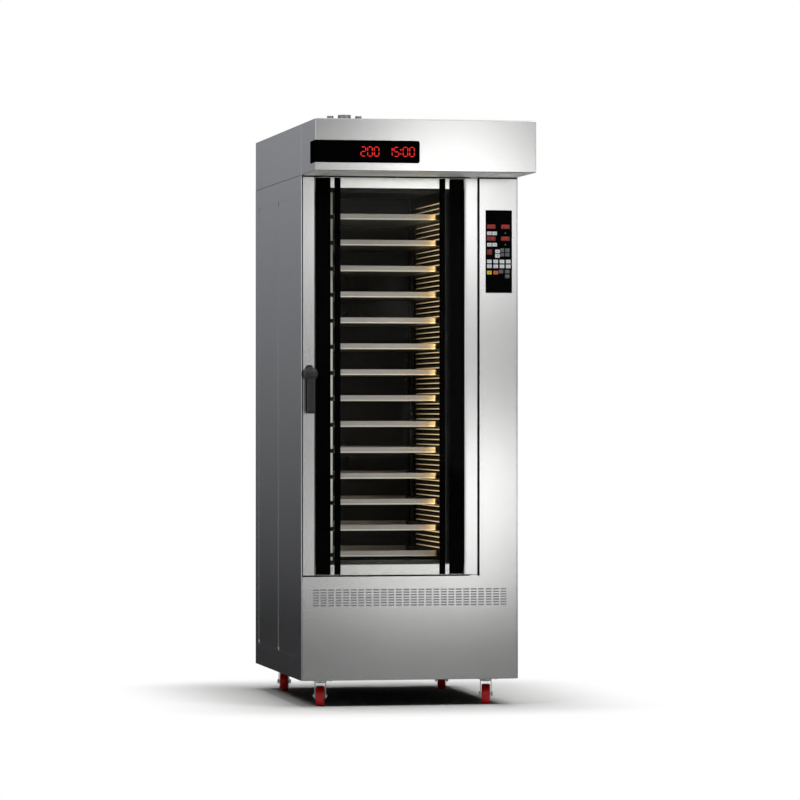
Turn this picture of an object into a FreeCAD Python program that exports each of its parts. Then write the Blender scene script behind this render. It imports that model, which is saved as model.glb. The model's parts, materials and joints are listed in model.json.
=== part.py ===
"""Tall tray convection oven on casters, as a parametric document in millimetres.

The frame has +Z up and the door facing -Y. The origin lies on the floor, under the middle of the
box that holds the cabinet and the hood standing out over the door.
"""
import FreeCAD
import Part
import os
import re
import Sketcher
from FreeCAD import Rotation, Vector

doc = FreeCAD.newDocument("tray_oven")
sheet = doc.addObject("Spreadsheet::Sheet", "Dims")

# Driving dimensions: alias, size in millimetres or count, what it measures
DIMENSIONS = (
    ("body_width", 820, "cabinet width over the side panels"),
    ("body_depth", 1100, "cabinet depth, front panel to rear panel"),
    ("body_height", 2060, "underside of the base pan to the roof"),
    ("caster_height", 100, "floor to the underside of the base pan"),
    ("hood_overhang", 313, "how far the hood stands out in front of the door"),
    ("hood_height", 190, "height of the hood and of the roof box behind it"),
    ("skin", 1.5, "outer sheet thickness"),
    ("hood_edge", 3, "bend radius along the edges of the hood and the roof box"),
    ("seam_edge", 1, "rounding of the two sheets where the hood meets the roof box"),
    ("overcut", 1, "how far a cutting shape runs past the face that it opens"),
    ("run_fit", 0.05, "radial clearance of pins and shafts that turn in bores"),
    ("run_gap", 0.3, "free gap between faces that turn past each other"),
    ("panel_gap", 3, "open joint between neighbouring panels"),
    ("sill_height", 8, "rim of the base pan that the panels stand on"),
    ("sill_sheet", 2.5, "sheet thickness of the base pan"),
    ("emboss_depth", 1.2, "depth of the pressed fields in the side panels"),
    ("emboss_margin", 75, "flat border round the pressed fields"),
    ("emboss_rib", 15, "flat rib between the front and rear pressed fields"),
    ("emboss_corner", 18, "corner radius of the pressed fields"),
    ("hem_depth", 15, "folded hem along the front edge of a side panel"),
    ("plinth_height", 384, "base to the top of the vented plinth"),
    ("panel_return", 18, "flange folded back along the front panel's outer edges"),
    ("slot_length", 22, "length of a plinth vent slot"),
    ("slot_height", 5, "height of a plinth vent slot"),
    ("slot_spacing_across", 28.4, "plinth vent slot spacing across"),
    ("slot_spacing_up", 9.6, "plinth vent slot spacing upwards"),
    ("slot_columns", 26, "plinth vent slots in a row"),
    ("slot_rows", 7, "rows of plinth vent slots"),
    ("slot_field_drop", 106.5, "top of the plinth to the middle of the lowest slot row"),
    ("filter_border", 14, "how far the intake filter reaches past the slots"),
    ("filter_depth", 12, "thickness of the intake filter"),
    ("rear_slot_length", 150, "length of a vent slot in the rear panel"),
    ("rear_slot_height", 6, "height of a vent slot in the rear panel"),
    ("rear_slot_spacing_across", 210, "rear vent slot spacing across"),
    ("rear_slot_spacing_up", 20, "rear vent slot spacing upwards"),
    ("rear_slot_columns", 3, "rear vent slots in a row"),
    ("rear_slot_rows", 14, "rows of rear vent slots"),
    ("rear_slot_base", 1150, "base to the lowest rear vent slot"),
    ("gland_radius", 16, "outer radius of the supply cable gland"),
    ("gland_bore", 9, "bore radius of the supply cable gland"),
    ("rear_inset", 6, "depth of the rear sheet behind the back edges of the side panels"),
    ("gland_length", 32, "length of the supply cable gland"),
    ("gland_flange", 24, "radius of the gland's locking flange"),
    ("gland_flange_thick", 4, "thickness of the gland's locking flange"),
    ("gland_inset", 120, "right side to the gland's axis"),
    ("gland_height", 200, "base to the gland's axis"),
    ("door_side_gap", 7, "outer side of the cabinet to the door's free edge"),
    ("column_width", 146, "width of the control column beside the door"),
    ("door_top_gap", 6, "door to the hood's underside"),
    ("door_bottom_gap", 6, "plinth to the door"),
    ("hinge_gap", 9, "door to the control column"),
    ("stile_width", 47, "width of the door's steel stiles"),
    ("stile_bevel", 5, "bevel along the stiles beside the glass"),
    ("door_depth", 58, "depth of the door frame"),
    ("door_sheet", 1.5, "sheet thickness of the door frame"),
    ("rail_height", 38, "height of the door's top and bottom rails"),
    ("stile_cap", 8, "thickness of the stiles' closed ends"),
    ("outer_glass_thick", 5, "outer pane thickness"),
    ("inner_glass_thick", 5, "inner pane thickness"),
    ("glass_gap", 0.5, "play round the panes"),
    ("inner_glass_lap", 10, "how far the inner pane laps the inner skin"),
    ("inner_skin_thick", 2, "thickness of the door's inner skin"),
    ("inner_skin_inset", 2, "door edge to the edge of the inner skin"),
    ("skin_window_inset", 2, "how far the inner skin reaches into the oven mouth"),
    ("gasket_width", 14, "width of the door gasket"),
    ("gasket_height", 5.7, "height of the door gasket as it seals"),
    ("gasket_offset", 4, "oven mouth to the gasket"),
    ("gasket_corner", 12, "inner corner radius of the door gasket"),
    ("seal_height", 6, "inner skin to the facade that the door seals on"),
    ("facade_sheet", 2, "facade thickness"),
    ("facade_lap", 25, "how far the facade reaches behind the control column"),
    ("facade_drop", 30, "how far the facade hangs below the top of the plinth"),
    ("hinge_inset", 14, "door corner to the hinge pin, both ways"),
    ("hinge_pin_radius", 5, "hinge pin radius"),
    ("hinge_pin_length", 20, "how far a hinge pin stands in the door"),
    ("hinge_plate_thick", 4, "hinge plate thickness"),
    ("hinge_plate_width", 30, "hinge plate width"),
    ("latch_height", 745, "door bottom to the handle's spindle"),
    ("spindle_radius", 5, "latch spindle radius"),
    ("tongue_length", 36, "latch tongue length"),
    ("tongue_width", 12, "latch tongue width"),
    ("tongue_thick", 5, "latch tongue thickness"),
    ("tongue_gap", 2, "facade to the tongue behind it"),
    ("tongue_slot_gap", 3, "play round the tongue in the facade's slot"),
    ("latch_room", 30, "free depth behind the facade for the tongue"),
    ("handle_plate_width", 30, "handle back plate width"),
    ("handle_plate_thick", 5, "handle back plate thickness"),
    ("handle_plate_over", 34, "spindle to the upper end of the back plate"),
    ("handle_plate_under", 146, "spindle to the lower end of the back plate"),
    ("hub_radius", 24, "handle hub radius"),
    ("hub_length", 46, "handle hub length"),
    ("hub_edge", 4, "rounding of the handle hub's outer rim"),
    ("grip_width", 28, "handle grip width"),
    ("grip_thick", 18, "handle grip thickness"),
    ("grip_reach", 146, "spindle to the end of the grip"),
    ("grip_edge", 7, "rounding of the grip's edges"),
    ("spindle_seat", 20, "how far the spindle stands in the hub"),
    ("tray_width", 400, "baking tray width"),
    ("tray_depth", 600, "baking tray depth"),
    ("tray_rim", 21, "baking tray height"),
    ("tray_sheet", 1.2, "baking tray sheet thickness"),
    ("tray_corner", 14, "baking tray corner radius"),
    ("tray_spacing", 97, "tray spacing"),
    ("tray_count", 14, "number of trays"),
    ("tray_setback", 140, "front panel to the trays"),
    ("tray_side_gap", 2, "tray to the runner beside it"),
    ("tray_rear_gap", 25, "trays to the fan baffle"),
    ("first_tray_height", 29, "cavity floor to the lowest tray"),
    ("rack_offset", 8, "how far the rack stands right of the door's middle"),
    ("runner_sheet", 1.5, "runner thickness"),
    ("runner_ledge", 12, "how far a runner reaches under its tray"),
    ("runner_upstand", 14, "height of a runner's upstand"),
    ("post_width", 14, "rack post width"),
    ("post_depth", 16, "rack post depth"),
    ("post_sheet", 1.5, "rack post wall"),
    ("post_lead", 28, "how far the front posts stand ahead of the trays"),
    ("post_tail", 20, "rear posts to the rear end of the trays"),
    ("post_slot_width", 10, "width of the slots in a rack post"),
    ("post_slot_height", 15, "height of the slots in a rack post"),
    ("post_duct_gap", 4.5, "right posts to the air duct panel"),
    ("wall_gap", 24.5, "left posts to the cavity wall"),
    ("floor_insulation", 39.5, "thickness of the insulation under the cavity"),
    ("mouth_lip", 12, "facade lip above the cavity floor and below its ceiling"),
    ("wall", 1.5, "cavity sheet thickness"),
    ("duct_depth", 49, "depth of the air duct behind its panel"),
    ("louvre_spacing", 19.4, "air duct slot spacing"),
    ("louvre_count", 68, "number of air duct slots"),
    ("louvre_slot", 6, "height of an air duct slot"),
    ("louvre_lip", 3, "how far a louvre lip stands into the cavity"),
    ("louvre_margin", 30, "air duct panel's end to its slots, front and rear"),
    ("louvre_base", 50, "cavity floor to the lowest air duct slot"),
    ("lamp_width", 12, "lamp bar width"),
    ("lamp_depth", 22, "lamp bar depth"),
    ("lamp_margin", 60, "lamp bar's ends to the cavity floor and ceiling"),
    ("lamp_inset", 4, "trays' right edge to the oven mouth and lamp bar"),
    ("fan_chamber", 115, "fan baffle to the cavity's rear wall"),
    ("fan_spacing", 640, "height between the two fan axes"),
    ("fan_radius", 105, "fan wheel radius"),
    ("fan_depth", 70, "fan blade depth"),
    ("fan_disc", 2.5, "fan disc thickness"),
    ("fan_wall_gap", 16, "fan disc to the cavity's rear wall"),
    ("blade_thick", 2, "fan blade thickness"),
    ("blade_height", 36, "radial height of a fan blade"),
    ("blade_count", 14, "fan blades"),
    ("hub_sleeve_radius", 18, "fan hub radius"),
    ("shaft_radius", 8, "fan shaft radius"),
    ("shaft_hole_gap", 2, "play round a fan shaft in walls and insulation"),
    ("shaft_seat", 60, "how far a fan shaft stands in its motor"),
    ("intake_inner", 24, "inner radius of the intake slots"),
    ("intake_outer", 96, "outer radius of the intake slots"),
    ("intake_slot", 12, "width of an intake slot"),
    ("intake_count", 12, "intake slots round each fan"),
    ("motor_flange", 150, "motor flange side"),
    ("motor_flange_thick", 5, "motor flange thickness"),
    ("motor_radius", 58, "motor body radius"),
    ("motor_length", 100, "motor body length"),
    ("heater_radius", 132, "ring heater radius"),
    ("heater_tube", 6, "heater tube radius"),
    ("heater_spacing", 34, "spacing of a heater's two rings"),
    ("heater_leg", 4, "radius of the heater's terminal legs"),
    ("heater_offset", 30, "cavity's rear wall to the nearer heater ring"),
    ("rear_insulation", 58, "thickness of the rear insulation slab"),
    ("roof_flange", 60, "inner flange under the roof box"),
    ("strip_length", 385, "display strip length along the hood's front"),
    ("strip_side_length", 113, "display strip length along the hood's left side"),
    ("strip_height", 81, "display strip height"),
    ("strip_rise", 30, "hood underside to the display strip"),
    ("strip_thick", 4, "display strip thickness"),
    ("strip_sink", 0.4, "depth of the display strip behind the faces of the hood"),
    ("strip_corner", 8, "corner radius at the display strip's ends"),
    ("strip_gap", 0.4, "play round the display strip"),
    ("flue_radius", 25, "steam flue outer radius"),
    ("flue_wall", 2, "steam flue wall"),
    ("flue_rise", 78, "how far the steam flue stands above the roof"),
    ("flue_across", -142, "steam flue position across"),
    ("flue_setback", 600, "front panel to the roof pipes"),
    ("flue_collar", 32, "radius of the steam flue's roof collar"),
    ("collar_thick", 3, "roof collar thickness"),
    ("pipe_radius", 12.5, "small roof pipe radius"),
    ("pipe_wall", 1.5, "small roof pipe wall"),
    ("pipe_rise", 74, "how far the small pipes stand above the roof"),
    ("pipe_spacing", 55, "steam flue to each small pipe"),
    ("pipe_collar", 18, "radius of the small pipes' roof collars"),
    ("pipe_drop", 25, "how far the small pipes reach into the roof box"),
    ("pipe_play", 0.5, "play round the pipes in the roof"),
    ("bezel_width", 100, "control bezel width"),
    ("bezel_height", 308, "control bezel height"),
    ("bezel_rise", 1593, "base to the middle of the control bezel"),
    ("bezel_proud", 1, "how far the bezel stands in front of the panel"),
    ("bezel_thick", 5, "control bezel thickness"),
    ("bezel_lip", 4, "width of the bezel's hidden rear lip"),
    ("bezel_lip_thick", 2, "thickness of the bezel's hidden rear lip"),
    ("bezel_gap", 0.4, "play round the bezel in the panel"),
    ("bezel_corner", 4, "bezel corner radius"),
    ("display_width", 37, "width of a number display"),
    ("display_height", 20, "height of a number display"),
    ("display_margin", 4.5, "bezel edge to the displays"),
    ("display_depth", 0.6, "depth of the display windows"),
    ("display_row_one", 53.5, "bezel top to the upper displays"),
    ("display_row_two", 98, "bezel top to the lower displays"),
    ("display_row_three", 146, "bezel top to the small display"),
    ("small_display_width", 24, "width of the small display"),
    ("key_width", 17.4, "key width"),
    ("key_height", 13, "key height"),
    ("key_gap", 0.3, "play round a key in the bezel"),
    ("key_proud", 1.4, "how far a key stands out of the bezel"),
    ("key_flange", 0.6, "how far a key's retaining flange reaches past its opening"),
    ("key_flange_thick", 1, "key flange thickness"),
    ("key_edge", 0.8, "rounding of a key's front edges"),
    ("key_margin", 14, "bezel edge to the first key column"),
    ("key_spacing", 24, "key column spacing"),
    ("key_pair_spacing", 20, "spacing of the keys under a display"),
    ("key_step_across", 45, "bezel edge to the two step keys"),
    ("key_row_one", 86, "bezel top to the keys under the upper display"),
    ("key_row_two", 128.5, "bezel top to the keys under the lower display"),
    ("key_row_three", 153.5, "bezel top to the upper step key"),
    ("key_row_four", 170, "bezel top to the lower step key"),
    ("key_row_five", 191, "bezel top to the upper row of four"),
    ("key_row_six", 209, "bezel top to the lower row of four"),
    ("key_row_seven", 232.5, "bezel top to the start and stop keys"),
    ("control_box_width", 120, "control electronics box width"),
    ("control_box_depth", 220, "control electronics box depth"),
    ("control_box_height", 360, "control electronics box height"),
    ("power_box_width", 360, "power electrics box width"),
    ("power_box_depth", 240, "power electrics box depth"),
    ("power_box_height", 220, "power electrics box height"),
    ("power_box_setback", 320, "front panel to the power electrics box"),
    ("caster_inset", 95, "cabinet side to a caster's swivel axis"),
    ("caster_setback", 130, "cabinet front or rear to a caster's swivel axis"),
    ("caster_swing", 12, "turn of the casters to the left of straight ahead, in degrees"),
    ("caster_trail", 33, "swivel axis to the wheel's axle"),
    ("caster_plate_width", 76, "caster top plate width"),
    ("caster_plate_depth", 96, "caster top plate depth"),
    ("caster_plate_thick", 3, "caster top plate thickness"),
    ("race_radius", 26, "swivel race radius"),
    ("race_height", 7, "swivel race height"),
    ("kingpin_radius", 6, "kingpin radius"),
    ("kingpin_head", 11, "kingpin head radius"),
    ("kingpin_head_thick", 3, "kingpin head thickness"),
    ("wheel_radius", 37.5, "caster wheel radius"),
    ("wheel_width", 32, "caster wheel width"),
    ("wheel_side_gap", 2.5, "wheel to a fork leg"),
    ("wheel_crown", 6, "how far the tread rounds off at its edges"),
    ("wheel_dish", 4, "depth of the dish in a wheel's sides"),
    ("wheel_rim", 8, "tread thickness outside the dish"),
    ("wheel_hub", 12, "wheel hub radius"),
    ("axle_radius", 4, "wheel axle radius"),
    ("axle_head", 7, "axle head radius"),
    ("axle_head_thick", 3, "axle head thickness"),
    ("fork_sheet", 3, "fork sheet thickness"),
    ("fork_crown", 4, "fork crown thickness"),
    ("fork_nose", 11, "how far the fork's crown reaches past the axle"),
    ("fork_tail", 24, "swivel axis to the fork's rear edge"),
    ("fork_foot", 10, "fork leg around the axle"),
)

# Planes and places worked out from the driving dimensions
PLACES = {
    "left": "-body_width / 2",
    "right": "body_width / 2",
    "hood_front": "-(hood_overhang + body_depth) / 2",
    "front": "hood_front + hood_overhang",
    "back": "front + body_depth",
    "rear_face": "back - rear_inset",
    "base": "caster_height",
    "roof": "base + body_height",
    "hood_under": "roof - hood_height",
    "panel_base": "base + sill_height",
    "plinth_top": "base + plinth_height",
    "side_inner": "left + skin + emboss_depth",
    "panel_left": "left + skin + panel_gap",
    "panel_right": "right - skin - panel_gap",
    "door_left": "left + door_side_gap",
    "door_right": "column_left - hinge_gap",
    "door_bottom": "plinth_top + door_bottom_gap",
    "door_top": "hood_under - door_top_gap",
    "stile_left": "door_left + stile_width",
    "stile_right": "door_right - stile_width",
    "column_left": "right - column_width",
    "column_top": "hood_under - door_top_gap",
    "glass_front": "front + stile_bevel",
    "rail_front": "glass_front + outer_glass_thick",
    "door_back": "front + door_depth",
    "seal_face": "door_back + inner_skin_thick",
    "facade": "seal_face + seal_height",
    "facade_back": "facade + facade_sheet",
    "rack_middle": "(door_left + door_right) / 2 + rack_offset",
    "tray_left": "rack_middle - tray_width / 2",
    "tray_right": "rack_middle + tray_width / 2",
    "tray_front": "front + tray_setback",
    "tray_back": "tray_front + tray_depth",
    "post_left": "tray_left - tray_side_gap - runner_sheet",
    "post_right": "tray_right + tray_side_gap + runner_sheet",
    "cavity_left": "post_left - post_width - wall_gap",
    "duct_face": "post_right + post_width + post_duct_gap",
    "cavity_right": "duct_face + duct_depth",
    "cavity_floor": "plinth_top + floor_insulation + wall",
    "cavity_ceiling": "door_top - rail_height",
    "mouth_right": "tray_right + lamp_inset",
    "mouth_bottom": "cavity_floor + mouth_lip",
    "mouth_top": "cavity_ceiling - mouth_lip",
    "baffle": "tray_back + tray_rear_gap",
    "liner_back": "baffle + fan_chamber",
    "liner_rear": "liner_back + wall",
    "motor_face": "liner_rear + rear_insulation",
    "fan_middle": "(cavity_floor + cavity_ceiling) / 2",
    "latch_across": "door_left + stile_width / 2",
    "latch_up": "door_bottom + latch_height",
    "handle_round": "0.48 * handle_plate_width",
    "hinge_across": "door_right - hinge_inset",
    "hinge_along": "front + hinge_inset",
    "tongue_front": "facade_back + tongue_gap",
    "grip_back": "front - handle_plate_thick - hub_length + grip_thick",
    "strip_bottom": "hood_under + strip_rise",
    "strip_top": "strip_bottom + strip_height",
    "flue_along": "front + flue_setback",
    "bezel_left": "(column_left + right) / 2 - bezel_width / 2",
    "bezel_right": "bezel_left + bezel_width",
    "bezel_bottom": "base + bezel_rise - bezel_height / 2",
    "bezel_top": "bezel_bottom + bezel_height",
    "bezel_front": "front - bezel_proud",
    "bezel_back": "bezel_front + bezel_thick",
    "race_bottom": "base - caster_plate_thick - race_height",
    "fork_top": "race_bottom - run_gap",
    "slot_first": "-(slot_columns - 1) * slot_spacing_across / 2 - slot_length / 2",
    "slot_low": "plinth_top - slot_field_drop - slot_height / 2",
    "slot_high": "slot_low + (slot_rows - 1) * slot_spacing_up + slot_height",
}

for row, (alias, size, meaning) in enumerate(DIMENSIONS, start=1):
    sheet.set(f"A{row}", alias)
    sheet.set(f"B{row}", str(size))
    sheet.setAlias(f"B{row}", alias)
    sheet.set(f"C{row}", meaning)
doc.recompute()

ALIASES = {alias for alias, size, meaning in DIMENSIONS}
WORD = re.compile(r"[a-z][a-z_]*")
FUNCTIONS = {"sin", "cos"}
CLOSE = 1e-4
COMMON_SPACING = -1.0
PIECES = []


def bound(formula):
    """Turn a formula in the names above into an expression on the sheet's cells."""
    def swap(match):
        word = match.group(0)
        if word in PLACES:
            return f"({bound(PLACES[word])})"
        if word in ALIASES:
            return f"Dims.{word}"
        if word in FUNCTIONS:
            return word
        raise KeyError(f"{word} in {formula}")
    return WORD.sub(swap, str(formula))


def value(formula):
    """The number that a formula has now."""
    return float(sheet.evalExpression(bound(formula)))


def inside(limits):
    """A pair of limits, drawn in by the sheet thickness at both ends."""
    low, high = limits
    return (f"{low} + skin", f"{high} - skin")


def keep(shape, label):
    """Name a finished sub-part."""
    shape.Label = label
    PIECES.append(shape)
    return shape


def box(name, x, y, z):
    """A block between a low and a high formula on each axis."""
    block = doc.addObject("Part::Box", name)
    for side, axis, (low, high) in zip(("Length", "Width", "Height"), "xyz", (x, y, z)):
        block.setExpression(side, bound(f"({high}) - ({low})"))
        block.setExpression(f"Placement.Base.{axis}", bound(low))
    return block


def cylinder(name, radius, axis, place, low, high):
    """A cylinder along an axis, from low to high; place gives its other two coordinates in order."""
    rod = doc.addObject("Part::Cylinder", name)
    turns = {"x": Rotation(Vector(0, 1, 0), 90), "y": Rotation(Vector(1, 0, 0), -90), "z": Rotation()}
    rod.Placement.Rotation = turns[axis]
    rod.setExpression("Radius", bound(radius))
    rod.setExpression("Height", bound(f"({high}) - ({low})"))
    others = [letter for letter in "xyz" if letter != axis]
    rod.setExpression(f"Placement.Base.{axis}", bound(low))
    for letter, formula in zip(others, place):
        rod.setExpression(f"Placement.Base.{letter}", bound(formula))
    return rod


def fuse(name, *shapes):
    """Join shapes into one."""
    joined = doc.addObject("Part::MultiFuse", name)
    joined.Shapes = list(shapes)
    joined.Refine = True
    return joined


def cut(name, shape, *tools):
    """Take tools out of a shape."""
    tool = tools[0] if len(tools) == 1 else fuse(f"{name}_tools", *tools)
    result = doc.addObject("Part::Cut", name)
    result.Base = shape
    result.Tool = tool
    return result


def group(name, *shapes):
    """Separate solids that share a name."""
    together = doc.addObject("Part::Compound", name)
    together.Links = list(shapes)
    return together


def edges_where(shape, test):
    """Numbers of the edges whose ends both pass a test on their position."""
    return [number for number, edge in enumerate(shape.Edges, start=1)
            if all(test(vertex.Point) for vertex in edge.Vertexes)]


def all_but(shape, *tests):
    """Numbers of all edges except those whose ends both pass one of the tests."""
    left_out = {number for test in tests for number in edges_where(shape, test)}
    return [number for number in range(1, len(shape.Edges) + 1) if number not in left_out]


def along(shape, axis, test=None):
    """Numbers of the straight edges that run along an axis, where their middle passes a test."""
    numbers = []
    for number, edge in enumerate(shape.Edges, start=1):
        ends = [vertex.Point for vertex in edge.Vertexes]
        if len(ends) == 2 and abs(abs((ends[1] - ends[0]).normalize()[axis]) - 1) < CLOSE:
            if test is None or test((ends[0] + ends[1]) / 2):
                numbers.append(number)
    return numbers


def soften(kind, name, shape, size, pick):
    """Round or bevel the edges that pick chooses on a shape."""
    doc.recompute()
    amount = value(size)
    softened = doc.addObject(kind, name)
    softened.Base = shape
    softened.Edges = [(number, amount, amount) for number in pick(shape.Shape)]
    return softened


def fillet(name, shape, radius, pick):
    return soften("Part::Fillet", name, shape, radius, pick)


def chamfer(name, shape, size, pick):
    return soften("Part::Chamfer", name, shape, size, pick)


def near(low, high):
    """Whether two lengths agree."""
    return abs(low - high) < CLOSE


def new_body(name, x="0 * skin", y="0 * skin", z="0 * skin"):
    """A body whose own origin lies at three formulas."""
    body = doc.addObject("PartDesign::Body", name)
    body.AllowCompound = True
    for axis, formula in zip("xyz", (x, y, z)):
        body.setExpression(f"Placement.Base.{axis}", bound(formula))
    return body


def origin_part(body, role):
    """One of a body's own origin planes or axes."""
    return [part for part in body.Origin.OriginFeatures if part.Role == role][0]


def sketch_on(body, plane, name):
    """An empty sketch on one of the body's origin planes."""
    sketch = body.newObject("Sketcher::SketchObject", name)
    sketch.AttachmentSupport = (origin_part(body, plane), [""])
    sketch.MapMode = "FlatFace"
    return sketch


def pin(sketch, kind, geometry, point, formula):
    """Tie one coordinate of a sketch point, or a circle's radius, to a formula."""
    number = value(formula)
    if kind == "Radius":
        constraint = Sketcher.Constraint(kind, geometry, number)
    else:
        constraint = Sketcher.Constraint(kind, geometry, point, number)
    index = sketch.addConstraint(constraint)
    sketch.setExpression(f"Constraints[{index}]", bound(formula))


def outline(sketch, corners):
    """A closed outline of straight lines through corners given as pairs of formulas."""
    first = sketch.GeometryCount
    places = [Vector(value(across), value(up), 0) for across, up in corners]
    count = len(places)
    for index in range(count):
        sketch.addGeometry(Part.LineSegment(places[index], places[(index + 1) % count]), False)
    for index in range(count):
        following = first + (index + 1) % count
        sketch.addConstraint(Sketcher.Constraint("Coincident", first + index, 2, following, 1))
    for index, (across, up) in enumerate(corners):
        pin(sketch, "DistanceX", first + index, 1, across)
        pin(sketch, "DistanceY", first + index, 1, up)


def rectangle(sketch, across, up):
    """A rectangle between two pairs of formulas."""
    outline(sketch, [(across[0], up[0]), (across[1], up[0]), (across[1], up[1]), (across[0], up[1])])


def circle(sketch, across, up, radius):
    """A circle about a centre given by two formulas."""
    index = sketch.GeometryCount
    centre = Vector(value(across), value(up), 0)
    sketch.addGeometry(Part.Circle(centre, Vector(0, 0, 1), value(radius)), False)
    pin(sketch, "DistanceX", index, 3, across)
    pin(sketch, "DistanceY", index, 3, up)
    pin(sketch, "Radius", index, None, radius)


def pad(body, sketch, name, length, reverse=False):
    """Raise a sketch into a solid."""
    raised = body.newObject("PartDesign::Pad", name)
    raised.Profile = sketch
    raised.Reversed = reverse
    raised.setExpression("Length", bound(length))
    return raised


def pocket(body, sketch, name, length, reverse=False):
    """Sink a sketch into the body to a depth."""
    sunk = body.newObject("PartDesign::Pocket", name)
    sunk.Profile = sketch
    sunk.Reversed = reverse
    sunk.setExpression("Length", bound(length))
    return sunk


def revolve(body, sketch, name, axis):
    """Turn a sketch full round one of its own axes."""
    turned = body.newObject("PartDesign::Revolution", name)
    turned.Profile = sketch
    turned.ReferenceAxis = (sketch, [axis])
    turned.Angle = 360
    return turned


def repeat(body, features, name, axis, spacing, count, second=None):
    """Repeat features along a body axis, and in rows along a second one."""
    row_of = body.newObject("PartDesign::LinearPattern", name)
    row_of.Originals = features
    row_of.Direction = (origin_part(body, axis), [""])
    row_of.Mode = "Spacing"
    row_of.setExpression("Offset", bound(spacing))
    row_of.setExpression("Occurrences", bound(count))
    if second:
        axis_two, spacing_two, count_two = second
        row_of.Direction2 = (origin_part(body, axis_two), [""])
        row_of.Mode2 = "Spacing"
        row_of.Spacings2 = [COMMON_SPACING]
        row_of.setExpression("Offset2", bound(spacing_two))
        row_of.setExpression("Occurrences2", bound(count_two))
    body.Tip = row_of
    return row_of


def ring_of(body, features, name, axis, count):
    """Repeat features evenly round a body axis."""
    ring = body.newObject("PartDesign::PolarPattern", name)
    ring.Originals = features
    ring.Axis = (origin_part(body, axis), [""])
    ring.Angle = 360
    ring.setExpression("Occurrences", bound(count))
    body.Tip = ring
    return ring


def base_pan():
    """Shallow steel pan under the cabinet, whose rim the panels stand on."""
    outer = box("pan_outer", ("left", "right"), ("front", "back"), ("base", "panel_base"))
    inner = box("pan_inner", ("left + sill_sheet", "right - sill_sheet"),
                ("front + sill_sheet", "back - sill_sheet"), ("base + sill_sheet", "panel_base + overcut"))
    keep(cut("pan", outer, inner), "base_pan")


def side_panel(label, sign):
    """Side sheet with two shallow pressed fields and a folded hem along its front edge."""
    def layer(name, near_side, far_side, y, z):
        """A block between two depths measured in from the cabinet's side."""
        if sign < 0:
            x = (f"left + {near_side}", f"left + {far_side}")
        else:
            x = (f"right - ({far_side})", f"right - ({near_side})")
        return box(f"{label}_{name}", x, y, z)

    height = ("panel_base", "hood_under")
    flat = layer("sheet", "0 * skin", "skin", ("front", "back"), height)
    hem = layer("hem", "skin", "2 * skin", ("front", "front + hem_depth"), height)
    rib_front = "(front + back) / 2 - emboss_rib / 2"
    rib_back = "(front + back) / 2 + emboss_rib / 2"
    fields = (("front + emboss_margin", rib_front), (rib_back, "back - emboss_margin"))
    up = ("panel_base + emboss_margin", "hood_under - emboss_margin")
    backs, faces = [], []
    for number, (low, high) in enumerate(fields):
        behind = (f"{low} - skin", f"{high} + skin")
        behind_up = (f"{up[0]} - skin", f"{up[1]} + skin")
        back = layer(f"back_{number}", "emboss_depth", "skin + emboss_depth", behind, behind_up)
        face = layer(f"face_{number}", "-overcut", "emboss_depth", (low, high), up)
        backs.append(fillet(f"{label}_back_soft_{number}", back, "emboss_corner + skin",
                            lambda s: along(s, 0)))
        faces.append(fillet(f"{label}_face_soft_{number}", face, "emboss_corner", lambda s: along(s, 0)))
    keep(cut(f"{label}_pressed", fuse(f"{label}_blank", flat, hem, *backs), *faces), label)


def front_panel():
    """L-shaped front sheet: the vented plinth and the control column beside the door."""
    body = new_body("front_sheet", y="front")
    left, right = "panel_left", "panel_right"
    face = sketch_on(body, "XZ_Plane", "front_face")
    outline(face, [(left, "panel_base"), (right, "panel_base"), (right, "column_top"),
                   ("column_left", "column_top"), ("column_left", "plinth_top"), (left, "plinth_top")])
    pad(body, face, "front_face_pad", "skin", reverse=True)
    recess = sketch_on(body, "XZ_Plane", "door_recess")
    outline(recess, [(left, "plinth_top - skin"), ("column_left + skin", "plinth_top - skin"),
                     ("column_left + skin", "column_top"), ("column_left", "column_top"),
                     ("column_left", "plinth_top"), (left, "plinth_top")])
    pad(body, recess, "door_recess_pad", "facade - front", reverse=True)
    flange = sketch_on(body, "XZ_Plane", "outer_flange")
    outline(flange, [(left, "panel_base"), (right, "panel_base"), (right, "column_top"),
                     ("panel_right - skin", "column_top"), ("panel_right - skin", "panel_base + skin"),
                     ("panel_left + skin", "panel_base + skin"), ("panel_left + skin", "plinth_top"),
                     (left, "plinth_top")])
    pad(body, flange, "outer_flange_pad", "panel_return", reverse=True)
    opening = sketch_on(body, "XZ_Plane", "bezel_opening")
    rectangle(opening, ("bezel_left - bezel_gap", "bezel_right + bezel_gap"),
              ("bezel_bottom - bezel_gap", "bezel_top + bezel_gap"))
    pocket(body, opening, "bezel_opening_cut", "2 * skin")
    slot = sketch_on(body, "XZ_Plane", "vent_slot")
    rectangle(slot, ("slot_first", "slot_first + slot_length"), ("slot_low", "slot_low + slot_height"))
    first = pocket(body, slot, "vent_slot_cut", "2 * skin")
    repeat(body, [first], "vent_slots", "X_Axis", "slot_spacing_across", "slot_columns",
           ("Z_Axis", "slot_spacing_up", "slot_rows"))
    keep(body, "front_panel")


def intake_filter():
    """Filter mat pressed against the back of the plinth slots."""
    mat = box("filter_mat", ("slot_first - filter_border", "-slot_first + filter_border"),
              ("front + skin", "front + skin + filter_depth"),
              ("slot_low - filter_border", "slot_high + filter_border"))
    keep(mat, "intake_filter")


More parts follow.
